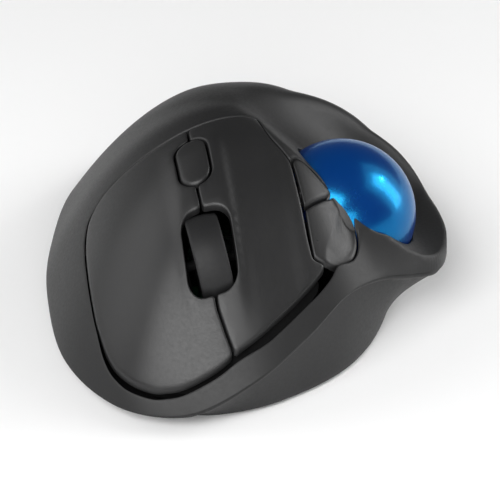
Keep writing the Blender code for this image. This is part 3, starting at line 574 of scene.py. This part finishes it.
def lathe(name, profile, material, steps=96, closed=False, turn=None, centre=(0, 0, 0), sharp=40):
    """A body turned about its own Z, then turned and moved into place."""
    count = len(profile)
    points = []
    for step in range(steps):
        angle = 2 * math.pi * step / steps
        points += [(r * math.cos(angle), r * math.sin(angle), z) for r, z in profile]
    faces = []
    for step in range(steps):
        here, there = step * count, (step + 1) % steps * count
        for i in range(count if closed else count - 1):
            j = (i + 1) % count
            faces.append((here + i, here + j, there + j, there + i))
    turn = turn or Matrix.Identity(3)
    placed = np.array(points) @ np.array(turn).T + np.array(centre)
    return add_mesh(name, placed, faces, material, sharp)


def ball_body(name, centre, radius, material, steps=160):
    half = steps // 2
    turns = [math.pi * i / half for i in range(half + 1)]
    arc = [(radius * math.sin(t), radius * math.cos(t)) for t in turns]
    arc[0], arc[-1] = (0.0, radius), (0.0, -radius)
    return lathe(name, arc, material, steps, centre=centre, sharp=180)


# Materials
TONE_SCALE = 90.0
UNEVEN = 0.04
GRAIN_HEIGHT = 0.00004
BALL_DEEP = (0.001, 0.03, 0.22)
BALL_FLAKE_DIM = (0.001, 0.18, 0.38)
BALL_FLAKE_BRIGHT = (0.002, 0.28, 0.52)
FLAKE_SCALE = 4200.0


def new_material(name):
    material = bpy.data.materials.new(name)
    material.use_nodes = True
    tree = material.node_tree
    shader = tree.nodes["Principled BSDF"]
    place = tree.nodes.new("ShaderNodeTexCoord")
    return material, tree, shader, place.outputs["Object"]


def noise(tree, place, scale, detail=3.0, rough=0.5):
    node = tree.nodes.new("ShaderNodeTexNoise")
    node.inputs["Scale"].default_value = scale
    node.inputs["Detail"].default_value = detail
    node.inputs["Roughness"].default_value = rough
    tree.links.new(place, node.inputs["Vector"])
    return node.outputs["Fac"]


def spread(tree, value, low, high):
    """The value, which lies about one half, mapped to a range."""
    node = tree.nodes.new("ShaderNodeMapRange")
    node.inputs["From Min"].default_value = 0.3
    node.inputs["From Max"].default_value = 0.7
    node.inputs["To Min"].default_value = low
    node.inputs["To Max"].default_value = high
    tree.links.new(value, node.inputs["Value"])
    return node.outputs["Result"]


def blend(tree, value, first, second):
    node = tree.nodes.new("ShaderNodeMix")
    node.data_type = "RGBA"
    node.inputs["A"].default_value = (*first, 1)
    node.inputs["B"].default_value = (*second, 1)
    tree.links.new(value, node.inputs["Factor"])
    return node.outputs["Result"]


def textured(name, first, second, roughness, grain, bump, specular=0.5, metallic=0.0):
    """A moulded or worked surface: two close tones, a fine grain and uneven gloss."""
    material, tree, shader, place = new_material(name)
    tone = spread(tree, noise(tree, place, TONE_SCALE), 0, 1)
    tree.links.new(blend(tree, tone, first, second), shader.inputs["Base Color"])
    fine = noise(tree, place, grain, 2.0, 0.6)
    dull = noise(tree, place, grain * 0.35)
    uneven = spread(tree, dull, roughness - UNEVEN, roughness + UNEVEN)
    tree.links.new(uneven, shader.inputs["Roughness"])
    relief_node = tree.nodes.new("ShaderNodeBump")
    relief_node.inputs["Strength"].default_value = bump
    relief_node.inputs["Distance"].default_value = GRAIN_HEIGHT
    tree.links.new(fine, relief_node.inputs["Height"])
    tree.links.new(relief_node.outputs["Normal"], shader.inputs["Normal"])
    shader.inputs["Metallic"].default_value = metallic
    shader.inputs["Specular IOR Level"].default_value = specular
    return material


def ball_material():
    """Deep blue resin mixed with fine metal flakes, under a thin clear coat."""
    material, tree, shader, place = new_material("ball_resin_fine")
    flakes = tree.nodes.new("ShaderNodeTexVoronoi")
    flakes.inputs["Scale"].default_value = FLAKE_SCALE
    tree.links.new(place, flakes.inputs["Vector"])
    split = tree.nodes.new("ShaderNodeSeparateColor")
    tree.links.new(flakes.outputs["Color"], split.inputs["Color"])
    cloud = spread(tree, noise(tree, place, 260.0), -0.12, 0.12)
    add = tree.nodes.new("ShaderNodeMath")
    add.operation = "ADD"
    tree.links.new(split.outputs["Red"], add.inputs[0])
    tree.links.new(cloud, add.inputs[1])
    metal = tree.nodes.new("ShaderNodeBsdfPrincipled")
    mixed = tree.nodes.new("ShaderNodeMixShader")
    shader.inputs["Base Color"].default_value = (*BALL_DEEP, 1)
    glint = blend(tree, add.outputs["Value"], BALL_FLAKE_DIM, BALL_FLAKE_BRIGHT)
    tree.links.new(glint, metal.inputs["Base Color"])
    tilt = tree.nodes.new("ShaderNodeBump")
    tilt.inputs["Strength"].default_value = 0.12
    tilt.inputs["Distance"].default_value = 0.00005
    tree.links.new(split.outputs["Green"], tilt.inputs["Height"])
    tree.links.new(tilt.outputs["Normal"], metal.inputs["Normal"])
    metal.inputs["Metallic"].default_value = 1.0
    metal.inputs["Roughness"].default_value = 0.2
    shader.inputs["Roughness"].default_value = 0.4
    shader.inputs["Specular IOR Level"].default_value = 0.1
    for coated in (shader, metal):
        coated.inputs["Coat Weight"].default_value = 0.08
        coated.inputs["Coat Roughness"].default_value = 0.08
        coated.inputs["Coat IOR"].default_value = 1.5
    mixed.inputs["Fac"].default_value = 0.5
    tree.links.new(shader.outputs["BSDF"], mixed.inputs[1])
    tree.links.new(metal.outputs["BSDF"], mixed.inputs[2])
    tree.links.new(mixed.outputs["Shader"], tree.nodes["Material Output"].inputs["Surface"])
    return material


BLACK = (0.008, 0.008, 0.0083), (0.0105, 0.0105, 0.0108)
# Inner pieces: black plastic, painted much darker than the casing as painted shade in the gaps and
# grooves where they show
INNER_BLACK_AND_SHADE = (0.0025, 0.0025, 0.0027), (0.004, 0.004, 0.0042)
RUBBER_BLACK = (0.008, 0.008, 0.0085), (0.011, 0.011, 0.0115)
CASING = textured("casing_plastic_fine", *BLACK, 0.5, 4200.0, 0.35, 0.42)
KEYS = textured("key_plastic_fine", *BLACK, 0.42, 4600.0, 0.22)
INNER = textured("inner_plastic_and_shade_fine", *INNER_BLACK_AND_SHADE, 0.75, 3000.0, 0.3, 0.15)
RUBBER = textured("wheel_rubber_fine", *RUBBER_BLACK, 0.58, 3500.0, 0.3, 0.35)
BALL_GLOSS = ball_material()
CERAMIC = textured("bearing_ceramic_fine", (0.76, 0.76, 0.72), (0.84, 0.84, 0.8), 0.16, 2500.0, 0.05)
ZINC = (0.5, 0.5, 0.52), (0.62, 0.62, 0.64)
STEEL = textured("zinc_steel_fine", *ZINC, 0.3, 1800.0, 0.12, metallic=1.0)
BOARD = textured("circuit_board_fine", (0.012, 0.085, 0.035), (0.018, 0.12, 0.05), 0.42, 1500.0, 0.2)
SWITCH = textured("switch_plastic_fine", (0.02, 0.02, 0.022), (0.028, 0.028, 0.03), 0.46, 3000.0, 0.2)
LENS = textured("sensor_lens_fine", (0.55, 0.6, 0.66), (0.66, 0.7, 0.76), 0.1, 1200.0, 0.03)
JACKET = (0.05, 0.16, 0.1), (0.07, 0.2, 0.13)
CELL = textured("battery_jacket_fine", *JACKET, 0.34, 1500.0, 0.08, metallic=0.3)
FOOT = textured("foot_slip_fine", (0.014, 0.014, 0.014), (0.02, 0.02, 0.02), 0.34, 3200.0, 0.12)


# Casing
LEAST_HOLE = 3.0
SHELL_SHARP = 70
# Rings of points close to the parting line, as shares of the way to it
NEAR_RIM = (0.9985, 0.995, 0.99, 0.983, 0.974, 0.963, 0.95, 0.935, 0.918, 0.9)
WALL_IN = 1.5
WALL_FLARE = 1.25


def side_hole():
    """One opening for both side keys, joined to the plates' opening."""
    thumb = open_spline(((-9.0, 42.4), (-8.8, 37.5), (-8.6, 32), (-8.2, 26), (-7.8, 21.3)), 8)
    outer = np.vstack([offset_run(run, SEAM_GAP) for run in (BACK_RUNS[1], FORWARD_RUNS[1])])
    return anticlockwise(np.vstack([[(-10.2, 20.1)], outer, [(-12.4, 41.9)], thumb]))


def offset_run(run, distance):
    """An open run of points moved to its left by a distance."""
    line = open_spline(run, 8)
    way = np.gradient(line, axis=0)
    way /= np.linalg.norm(way, axis=1, keepdims=True)
    return line + np.column_stack([-way[:, 1], way[:, 0]]) * distance


def top_shell():
    """The upper casing: one wall from the parting line to the openings, leaning in at the rim."""
    count = 360
    angles = np.arange(count) * 2 * np.pi / count
    rim, _ = rim_at(angles)
    turn = np.column_stack([np.cos(angles), np.sin(angles)])
    edge = np.array(APEX) + turn * rim[:, None]
    openings = [panel_hole(), side_hole(), opening_ring(OPENING_R)]

    def keep(points):
        kept = inside(edge, points)
        for outline in openings:
            kept &= ~inside(outline, points)
        return kept

    borders = border_loops(*triangles([edge] + openings, [], keep))
    holes = [resampled(softened(loop, 0.4), EDGE_STEP) for loop in borders[1:]]
    holes = [hole for hole in holes if abs(area(hole)) > LEAST_HOLE]
    rows = [[offset(hole, -FILLET * share) for hole in holes] for share in (0, *LIP_ROWS)]

    def within(points):
        found = inside(edge, points)
        for hole in holes:
            found &= ~inside(hole, points)
        return found

    extra = []
    for share in NEAR_RIM + tuple(np.arange(0.88, 0.04, -0.022)):
        around = max(12, int(count * share))
        at = np.arange(around) * 2 * np.pi / around
        reach, _ = rim_at(at)
        ray = np.column_stack([np.cos(at), np.sin(at)])
        extra.append(np.array(APEX) + ray * (reach * share)[:, None])
    extra = np.vstack(extra)
    extra = extra[within(extra)]
    for hole in holes:
        extra = extra[distance_to(hole, extra) > FILLET + 0.3]
    flat, faces = triangles([edge] + [loop for row in rows for loop in row], extra, within)
    to_holes = np.min([distance_to(hole, flat) for hole in holes], axis=0)
    away = flat - np.array(APEX)
    reach = np.linalg.norm(away, axis=1)
    radius, low = rim_at(np.arctan2(away[:, 1], away[:, 0]))
    on_rim = distance_to(edge, flat) < 1e-3
    outside = top(flat[:, 0], flat[:, 1])
    high = np.where(on_rim, low, outside - lip_drop(to_holes))
    lean = step_up(reach / radius, 0.72, 0.97) * np.clip(to_holes / 4, 0, 1)
    under = flat - away / np.maximum(reach, 1e-6)[:, None] * (SHELL_THICK * lean)[:, None]
    beneath = np.maximum(low, outside - SHELL_THICK * SLOPE * (1 - lean))
    drop = np.where(on_rim, low, beneath)
    upper = clear_of_ball(np.column_stack([flat, high]), RIM_CLEAR_R)
    lower = clear_of_ball(np.column_stack([under, drop]), SOCKET_R[0])
    return between("shell_upper", upper, lower, faces, CASING, SHELL_SHARP)


def bottom_case():
    """A tray: rounded foot, hollowed wall, undercut and a lip band under the parting line."""
    count = 300
    angles = np.arange(count) * 2 * np.pi / count
    turn = np.column_stack([np.cos(angles), np.sin(angles)])
    base = np.interp(angles, BASE_TABLE[0], BASE_TABLE[1])
    rim, high = rim_at(angles)
    lip = high - SEAM_GAP
    tall = lip - CASE_LOW
    band = np.minimum(1.25, 0.3 * tall)
    foot = np.minimum(0.5, 0.2 * tall)
    neck = rim - WALL_IN
    rings = [
        (base - 1.1, CASE_LOW),
        (base - 0.45, CASE_LOW + 0.1 * foot),
        (base - 0.12, CASE_LOW + 0.4 * foot),
    ]
    low, step = CASE_LOW + foot, lip - band
    for t in np.linspace(0, 1, 17):
        rings.append((base + (neck - base) * t**WALL_FLARE, low + (step - 0.12 - low) * t))
    middle = np.maximum(CASE_LOW + 0.5 * tall, FLOOR_TOP + 0.3)
    rings += [
        (rim - 1.3, step),
        (rim - 0.9, step + 0.04),
        (rim - 0.76, step + 0.2 * band),
        (rim - 0.72, step + 0.5 * band),
        (rim - 0.76, step + 0.8 * band),
        (rim - 0.9, lip - 0.04),
        (rim - 1.1, lip),
        (rim - 2.5, lip),
        (0.7 * base + 0.3 * neck - 2.1, middle),
        (base - 2.3, FLOOR_TOP),
    ]
    points = []
    for radius, height in rings:
        flat = np.array(APEX) + turn * np.reshape(radius, (-1, 1))
        points.append(np.column_stack([flat, np.broadcast_to(height, count)]))
    points = np.vstack(points + [[(*APEX, CASE_LOW)], [(*APEX, FLOOR_TOP)]])
    last = (len(rings) - 1) * count
    faces = []
    for i in range(count):
        j = (i + 1) % count
        for level in range(0, last, count):
            faces.append((level + i, level + j, level + count + j, level + count + i))
        faces.append((j, i, len(points) - 2))
        faces.append((last + i, last + j, len(points) - 1))
    case = add_mesh("case_lower", points, faces, CASING)
    return carved(case, underside_cutters())


# Underside
PUSH_HOLE_R = 8.0
DOOR_HALF = 9.0
DOOR_FRONT = 9.0
DOOR_REACH = 70.0
DOOR_X = 6.0
DOOR_FILLET = 0.35
GRIP_START = -45.0
GRIP_PITCH = 1.6
GRIP_SIZE = (9, 0.7, 0.7)
SLIDER_AT = (20.7, 8)
SLIDER_SLOT_AT = (22, 8)
RECEIVER_AT = (23.8, -14)
FEET = {
    "foot_front_left": (-12, 40, 5), "foot_front_right": (30, 37, 5), "foot_side": (34, 4, 4.5),
    "foot_rear_right": (26, -36, 5), "foot_rear_left": (-19, -40, 5),
}
SCREWS = {
    "screw_side": (35, -10), "screw_rear_right": (20, -45), "screw_rear_left": (-27, -24),
    "screw_front": (-4.6, 46.0),
}
# Half section of a screw: distance from its axis, height
SCREW_PROFILE = ((0, 6.5), (1.15, 6.5), (1.15, 2.0), (2.4, 2.0), (2.4, 1.0), (0, 1.0))
CROSS_SLOTS = ((2.8, 0.6, 1.4), (0.6, 2.8, 1.4))


def round_tool(name, centre, radius, height, turn=None):
    profile = [(0, height / 2), (radius, height / 2), (radius, -height / 2), (0, -height / 2)]
    return lathe(name, profile, None, 64, turn=turn, centre=centre)


def underside_cutters():
    x, y, _ = BALL_AT
    length = DOOR_FRONT + SEAM_GAP + DOOR_REACH
    room_at = (DOOR_X, DOOR_FRONT + SEAM_GAP - length / 2, 1.5)
    room = (2 * (DOOR_HALF + SEAM_GAP), length, 3)
    tools = [
        round_tool("push_hole", (x, y, 2), PUSH_HOLE_R, 8),
        block("door_room", room_at, room, 0, None),
        block("slider_room", (*SLIDER_SLOT_AT, 2), (8.6, 3.8, 4), 0.5, None),
        block("receiver_room", (*RECEIVER_AT, 2), (13.8, 6.8, 4), 0.4, None),
    ]
    for name, (fx, fy, radius) in FEET.items():
        tools.append(round_tool(name + "_pocket", (fx, fy, 0), radius + 0.2, 2.4))
    for name, (sx, sy) in SCREWS.items():
        tools.append(round_tool(name + "_seat", (sx, sy, 0.8), 2.7, 2.4))
        tools.append(round_tool(name + "_hole", (sx, sy, 3), 1.5, 6))
    return tools


def battery_door():
    """A sliding cover with rounded edges and five grip grooves near its rear end."""
    base = np.array(APEX) + (closed_spline(BASE, 12) - np.array(APEX)) * 0.975
    left, right = DOOR_X - DOOR_HALF, DOOR_X + DOOR_HALF
    rear, front = -DOOR_REACH, DOOR_FRONT
    window = np.array([(left, rear), (right, rear), (right, front), (left, front)], float)

    def keep(points):
        return inside(base, points) & inside(window, points)

    flat, faces, away = edged_sheet([base, window], keep, 3.0, DOOR_FILLET, 0.5)
    low, high = CASE_LOW + 0.05, FLOOR_TOP - 0.3
    upper = np.column_stack([flat, np.full(len(flat), high)])
    lower = np.column_stack([flat, low + lip_drop(away, DOOR_FILLET)])
    door = between("door_cover", upper, lower, faces, CASING)
    grooves = []
    for i in range(5):
        place = (DOOR_X, GRIP_START - GRIP_PITCH * i, low)
        grooves.append(block(f"grip_{i}", place, GRIP_SIZE, 0.15, None))
    return carved(door, grooves)


def foot(name, x, y, radius):
    profile = rounded_profile([(0, 1.1), (radius, 1.1), (radius, 0), (0, 0)], 0.45)
    return lathe(name + "_pad", profile, FOOT, 96, centre=(x, y, 0))


def screw(name, x, y):
    """A pan-head screw with a cross slot, its head down."""
    profile = rounded_profile(SCREW_PROFILE, 0.2)
    body = lathe(name + "_fine", profile, STEEL, 64, centre=(x, y, 0))
    slots = []
    for i, size in enumerate(CROSS_SLOTS):
        slots.append(block(f"{name}_slot_{i}", (x, y, 1.0), size, 0.1, None))
    return carved(body, slots, 30)


# Click plates and keys
PLATE_THICK = 1.35
PLATE_FILLET = 0.42
PLATE_ROUNDING = 0.45
KEY_THICK = 1.2
KEY_ROUNDING = 0.15
STEM_R = 1.5
STEM_LOW = 12.3
STEM_DEPTH = 2.9


def dpi_pill():
    return rounded_box(DPI_AT, DPI_HALF, DPI_HALF[0] - 0.01)


def plate_outlines():
    pill = offset(dpi_pill(), DPI_GAP)
    return panel_outline(), pill, rounded_box(SLOT_AT, SLOT_HALF, SLOT_CORNER)


def click_plate(name, side):
    """One half of the panel with rounded lips at every edge."""
    panel, pill, slot = plate_outlines()
    edge = np.array(SEAM_ACROSS) + side * SEAM_OPEN / 2
    run = open_spline(np.column_stack([edge, SEAM_ALONG]), 8)
    half = np.vstack([run, [(side * 90, run[-1][1]), (side * 90, run[0][1])]])

    def keep(points):
        kept = inside(panel, points) & inside(half, points)
        return kept & ~inside(pill, points) & ~inside(slot, points)

    outlines = [panel, pill, slot, half]
    return lipped_plate(
        name, outlines, keep, panel_top, PLATE_THICK, STEP, PLATE_FILLET, PLATE_ROUNDING
    )


def stem(name, at):
    """The rod from a click plate down to its switch."""
    x, y = at
    high, low = float(top(x, y)) - STEM_DEPTH, STEM_LOW
    profile = rounded_profile([(0, high), (STEM_R, high), (STEM_R, low), (0, low)], 0.3)
    return lathe(name, profile, KEYS, 32, centre=(x, y, 0))


def key(name, outline, fillet, surface, spacing):
    def keep(points):
        return inside(outline, points)

    return lipped_plate(
        name, [outline], keep, surface, KEY_THICK, spacing, fillet, KEY_ROUNDING
    )


RIDGE_ALONG = (27.2, 29.2, 31.3, 33.8, 36.8, 38.8, 40.6)
RIDGE_ACROSS = (-17.0, -17.5, -17.2, -16.1, -14.6, -13.3, -12.8)
DISH_WIDE = 6.0
DISH_DEEP = 1.15
NECK_DEPTH = 2.75
NECK_SIZE = (1.4, 3.0, 3.3)
FINGER_SHIFT = 2.2
FINGER_DEPTH = 4.2
FINGER_SIZE = (5.8, 3.2, 1.0)


def forward_top(x, y):
    """The forward key: flat up to a sharp ridge, and dished for the thumb beyond it."""
    share = np.clip((np.interp(y, RIDGE_ALONG, RIDGE_ACROSS) - x) / DISH_WIDE, 0, 1)
    return top(x, y) - DISH_DEEP * 4 * share * (1 - share)


def key_finger(name, at):
    """The neck and finger that reach from a side key to its switch."""
    x, y = at
    high = float(top(x, y))
    neck = block(name + "_neck", (x, y, high - NECK_DEPTH), NECK_SIZE, 0.2, KEYS)
    reach = (x + FINGER_SHIFT, y, high - FINGER_DEPTH)
    finger = block(name + "_finger", reach, FINGER_SIZE, 0.2, KEYS)
    return neck, finger


# Wheel
def wheel_turn():
    return Matrix.Rotation(WHEEL_TILT, 3, "Y") @ Matrix.Rotation(math.pi / 2, 3, "Y")


def tyre():
    """The rubber ring, a little smaller than the CAD's, so that a clicked plate clears it."""
    half, radius = WHEEL_HALF - 0.3, WHEEL_R - 0.35
    side = [(TYRE_BORE, half), (radius - 0.5, half)]
    section = side + [(radius, 0)] + [(r, -z) for r, z in side[::-1]]
    profile = rounded_profile(section, TYRE_ROUNDING, closed=True, per=8)
    return lathe("tyre", profile, RUBBER, 180, True, wheel_turn(), WHEEL_AT)


# Ball socket
CUP_RIM = -5.0
CUP_ARC = 32
BEAD_R = 1.25
BEARINGS = (1, 2, 3)


def bearing_middle(number):
    low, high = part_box(f"bearing_{number}")
    return tuple((low + high) / 2 / MM)


def ball_socket():
    """A thick cup under the ball, with a push-out hole, a sensor window and three bead pockets."""
    inner, outer = SOCKET_R
    start = math.acos(CUP_RIM / inner)
    sweep = [start + (math.pi - start) * i / CUP_ARC for i in range(CUP_ARC + 1)]
    inside_arc = [(inner * math.sin(a), inner * math.cos(a)) for a in sweep]
    outside_arc = [(outer * math.sin(a), outer * math.cos(a)) for a in sweep]
    profile = [(0.0, -inner)] + inside_arc[-2::-1] + outside_arc[:-1] + [(0.0, -outer)]
    turn = OPENING_NORMAL.to_track_quat("Z", "Y").to_matrix()
    cup = lathe("socket_cup", profile, INNER, 128, turn=turn, centre=BALL_AT)
    x, y, z = BALL_AT
    tools = [round_tool("cup_push_hole", (x, y, z - 18), PUSH_HOLE_R, 12)]
    sensor = Vector((0.5, -0.72, -0.5)).normalized()
    window = Vector(BALL_AT) + sensor * 18
    facing = sensor.to_track_quat("Z", "Y").to_matrix()
    tools.append(round_tool("cup_window", tuple(window), 3.6, 8, facing))
    for number in BEARINGS:
        middle = bearing_middle(number)
        tools.append(ball_body(f"cup_pocket_{number}", middle, BEAD_R + 0.15, None, 32))
    return carved(cup, tools)


# The object
# Click plates: name, side of the seam, where the stem is
PLATES = (("left", -1, (-0.6, 36.6)), ("right", 1, (25, 34)))
# Side keys: name, outline, where the neck is, surface
SIDE_KEYS = (
    ("back", BACK_RUNS, (-9.9, 27.0), top),
    ("forward", FORWARD_RUNS, (-11.0, 36.5), forward_top),
)


def build():
    casing = "casing"
    stand_for(top_shell(), "top_shell", casing)
    stand_for(bottom_case(), "bottom_case", casing)
    stand_for(ball_socket(), "ball_socket", casing)
    stand_for(battery_door(), "battery_door", "door")
    for name, (x, y, radius) in FEET.items():
        stand_for(foot(name, x, y, radius), name, casing)
    for name, (x, y) in SCREWS.items():
        stand_for(screw(name, x, y), name, casing)
    for name, side, at in PLATES:
        body = name + "_plate"
        stand_for(click_plate(body + "_fine", side), name + "_button", body)
        rod = stem(name + "_stem", at)
        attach(rod, body)
    dpi = key("dpi_key_fine", dpi_pill(), 0.55, panel_top, 0.6)
    stand_for(dpi, "dpi_button", "dpi_key")
    for name, runs, at, surface in SIDE_KEYS:
        fine = key(name + "_key_fine", outline_of(runs), 0.5, surface, 0.35)
        stand_for(fine, name + "_button", name + "_key")
        for extra in key_finger(name, at):
            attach(extra, name + "_key")
    ball = ball_body("ball_fine", BALL_AT, BALL_R, BALL_GLOSS)
    stand_for(ball, "trackball", "ball")
    stand_for(tyre(), "wheel_tyre", "wheel")
    for number in BEARINGS:
        bead = ball_body(f"bead_{number}", bearing_middle(number), BEAD_R, CERAMIC, 48)
        stand_for(bead, f"bearing_{number}", casing)
    slider()
    receiver()


def slider():
    x, y = SLIDER_AT
    knob = block("slider_knob", (x, y, 1.9), (4.6, 3.0, 2.6), 0.3, FOOT)
    stand_for(knob, "power_slider", "slider")
    flange = block("slider_flange", (x, y, 3.55), (10.5, 5.6, 0.9), 0.2, FOOT)
    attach(flange, "slider")


def receiver():
    x, y = RECEIVER_AT
    head = block("receiver_head", (x, y, 3.6), (13.2, 6.2, 5.2), 0.6, SWITCH)
    stand_for(head, "usb_receiver", "casing")
    plug = block("receiver_plug", (x, y, 10.3), (12, 4.5, 8.0), 0.3, STEEL)
    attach(plug, "casing")


CARRIED = {
    "button_frame": INNER, "wheel_hub": INNER, "wheel_carrier": INNER, "battery_cradle": INNER,
    "receiver_tray": INNER, "wheel_axle": INNER, "battery_contact": STEEL, "battery_spring": STEEL,
    "wheel_encoder": SWITCH, "left_switch": SWITCH, "right_switch": SWITCH, "middle_switch": SWITCH,
    "dpi_switch": SWITCH, "back_switch": SWITCH, "forward_switch": SWITCH, "sensor_lens": LENS,
    "sensor_module": BOARD, "main_pcb": BOARD, "battery": CELL,
}


def dress_carried():
    """Finer materials for the plain inner pieces that keep their shape."""
    for name, material in CARRIED.items():
        slots = frame["nodes"][name].data.materials
        for i in range(len(slots)):
            slots[i] = material


# Studio
CAMERA_TURN = math.radians(170)
CAMERA_LIFT = math.radians(33)
CAMERA_AWAY = 500.0
CAMERA_SHIFT = (-20.77, -8.42)
CAMERA_LENS = 158.0
FLOOR_HALF = 0.7
# World brightness by height: where on the ramp, how bright
HORIZON = (0.02, 1.0)
SKY = (0.06, 0.12)
# Lights: name, direction, distance, size, power, aim
CENTRE = (0, 0, 20)
LIGHTS = (
    ("key_front", (0.42, 0.6, 0.7), 0.9, (0.6, 0.5), 5.8, CENTRE),
    ("finger_side", (0.8, -0.24, 0.5), 0.9, (0.8, 0.6), 2.6, CENTRE),
    ("front_low", (0.2, 0.92, 0.35), 0.9, (0.8, 0.4), 3.4, CENTRE),
    ("thumb_side", (-0.86, -0.05, 0.5), 0.9, (0.75, 1.0), 1.7, CENTRE),
    ("ball_band", (-0.9, -0.03, 0.43), 0.75, (0.26, 0.65), 2.3, BALL_AT),
    ("ball_glint", (-0.8, -0.153, 0.575), 0.7, (0.05, 0.035), 0.3, BALL_AT),
)


def camera():
    level = math.cos(CAMERA_LIFT)
    back = Vector(
        (math.sin(CAMERA_TURN) * level, -math.cos(CAMERA_TURN) * level, math.sin(CAMERA_LIFT))
    )
    right = Vector((math.cos(CAMERA_TURN), math.sin(CAMERA_TURN), 0))
    up = back.cross(right)
    eye = Vector(BALL_AT) + CAMERA_AWAY * back + CAMERA_SHIFT[0] * right + CAMERA_SHIFT[1] * up
    data = bpy.data.cameras.new("studio_camera")
    data.lens = CAMERA_LENS
    data.sensor_width = 36.0
    data.clip_start = 0.01
    body = bpy.data.objects.new("studio_camera", data)
    turn = Matrix((right, up, back)).transposed().to_4x4()
    body.matrix_world = Matrix.Translation(eye * MM) @ turn
    bpy.context.scene.collection.objects.link(body)
    bpy.context.scene.camera = body


def soft_light(name, way, away, size, power, aim):
    """A rectangle of white light, a way off in a direction from its aim."""
    data = bpy.data.lights.new(name, "AREA")
    data.shape = "RECTANGLE"
    data.size, data.size_y = size
    data.energy = power
    body = bpy.data.objects.new(name, data)
    direction = Vector(way).normalized()
    turn = direction.to_track_quat("Z", "Y").to_matrix().to_4x4()
    body.matrix_world = Matrix.Translation(Vector(aim) * MM + direction * away) @ turn
    bpy.context.scene.collection.objects.link(body)


def floor():
    mesh = bpy.data.meshes.new("floor")
    work = bmesh.new()
    bmesh.ops.create_grid(work, x_segments=1, y_segments=1, size=FLOOR_HALF)
    work.to_mesh(mesh)
    work.free()
    material, tree, shader, place = new_material("floor_pale")
    tone = spread(tree, noise(tree, place, 3.0), 0, 1)
    pale = blend(tree, tone, (0.93, 0.93, 0.93), (0.95, 0.95, 0.95))
    tree.links.new(pale, shader.inputs["Base Color"])
    shader.inputs["Roughness"].default_value = 0.7
    shader.inputs["Specular IOR Level"].default_value = 0.2
    mesh.materials.append(material)
    ground = bpy.data.objects.new("floor", mesh)
    bpy.context.scene.collection.objects.link(ground)


def world():
    """A dim room with a white band at the horizon, where the floor ends."""
    sky = bpy.data.worlds.new("studio_world")
    sky.use_nodes = True
    tree = sky.node_tree
    place = tree.nodes.new("ShaderNodeTexCoord")
    split = tree.nodes.new("ShaderNodeSeparateXYZ")
    ramp = tree.nodes.new("ShaderNodeValToRGB")
    for stop, (position, level) in zip(ramp.color_ramp.elements, (HORIZON, SKY)):
        stop.position = position
        stop.color = (level, level, level, 1)
    tree.links.new(place.outputs["Generated"], split.inputs["Vector"])
    tree.links.new(split.outputs["Z"], ramp.inputs["Fac"])
    tree.links.new(ramp.outputs["Color"], tree.nodes["Background"].inputs["Color"])
    bpy.context.scene.world = sky


bpy.context.scene.view_settings.view_transform = "Standard"
build()
dress_carried()
camera()
floor()
world()
for light in LIGHTS:
    soft_light(*light)
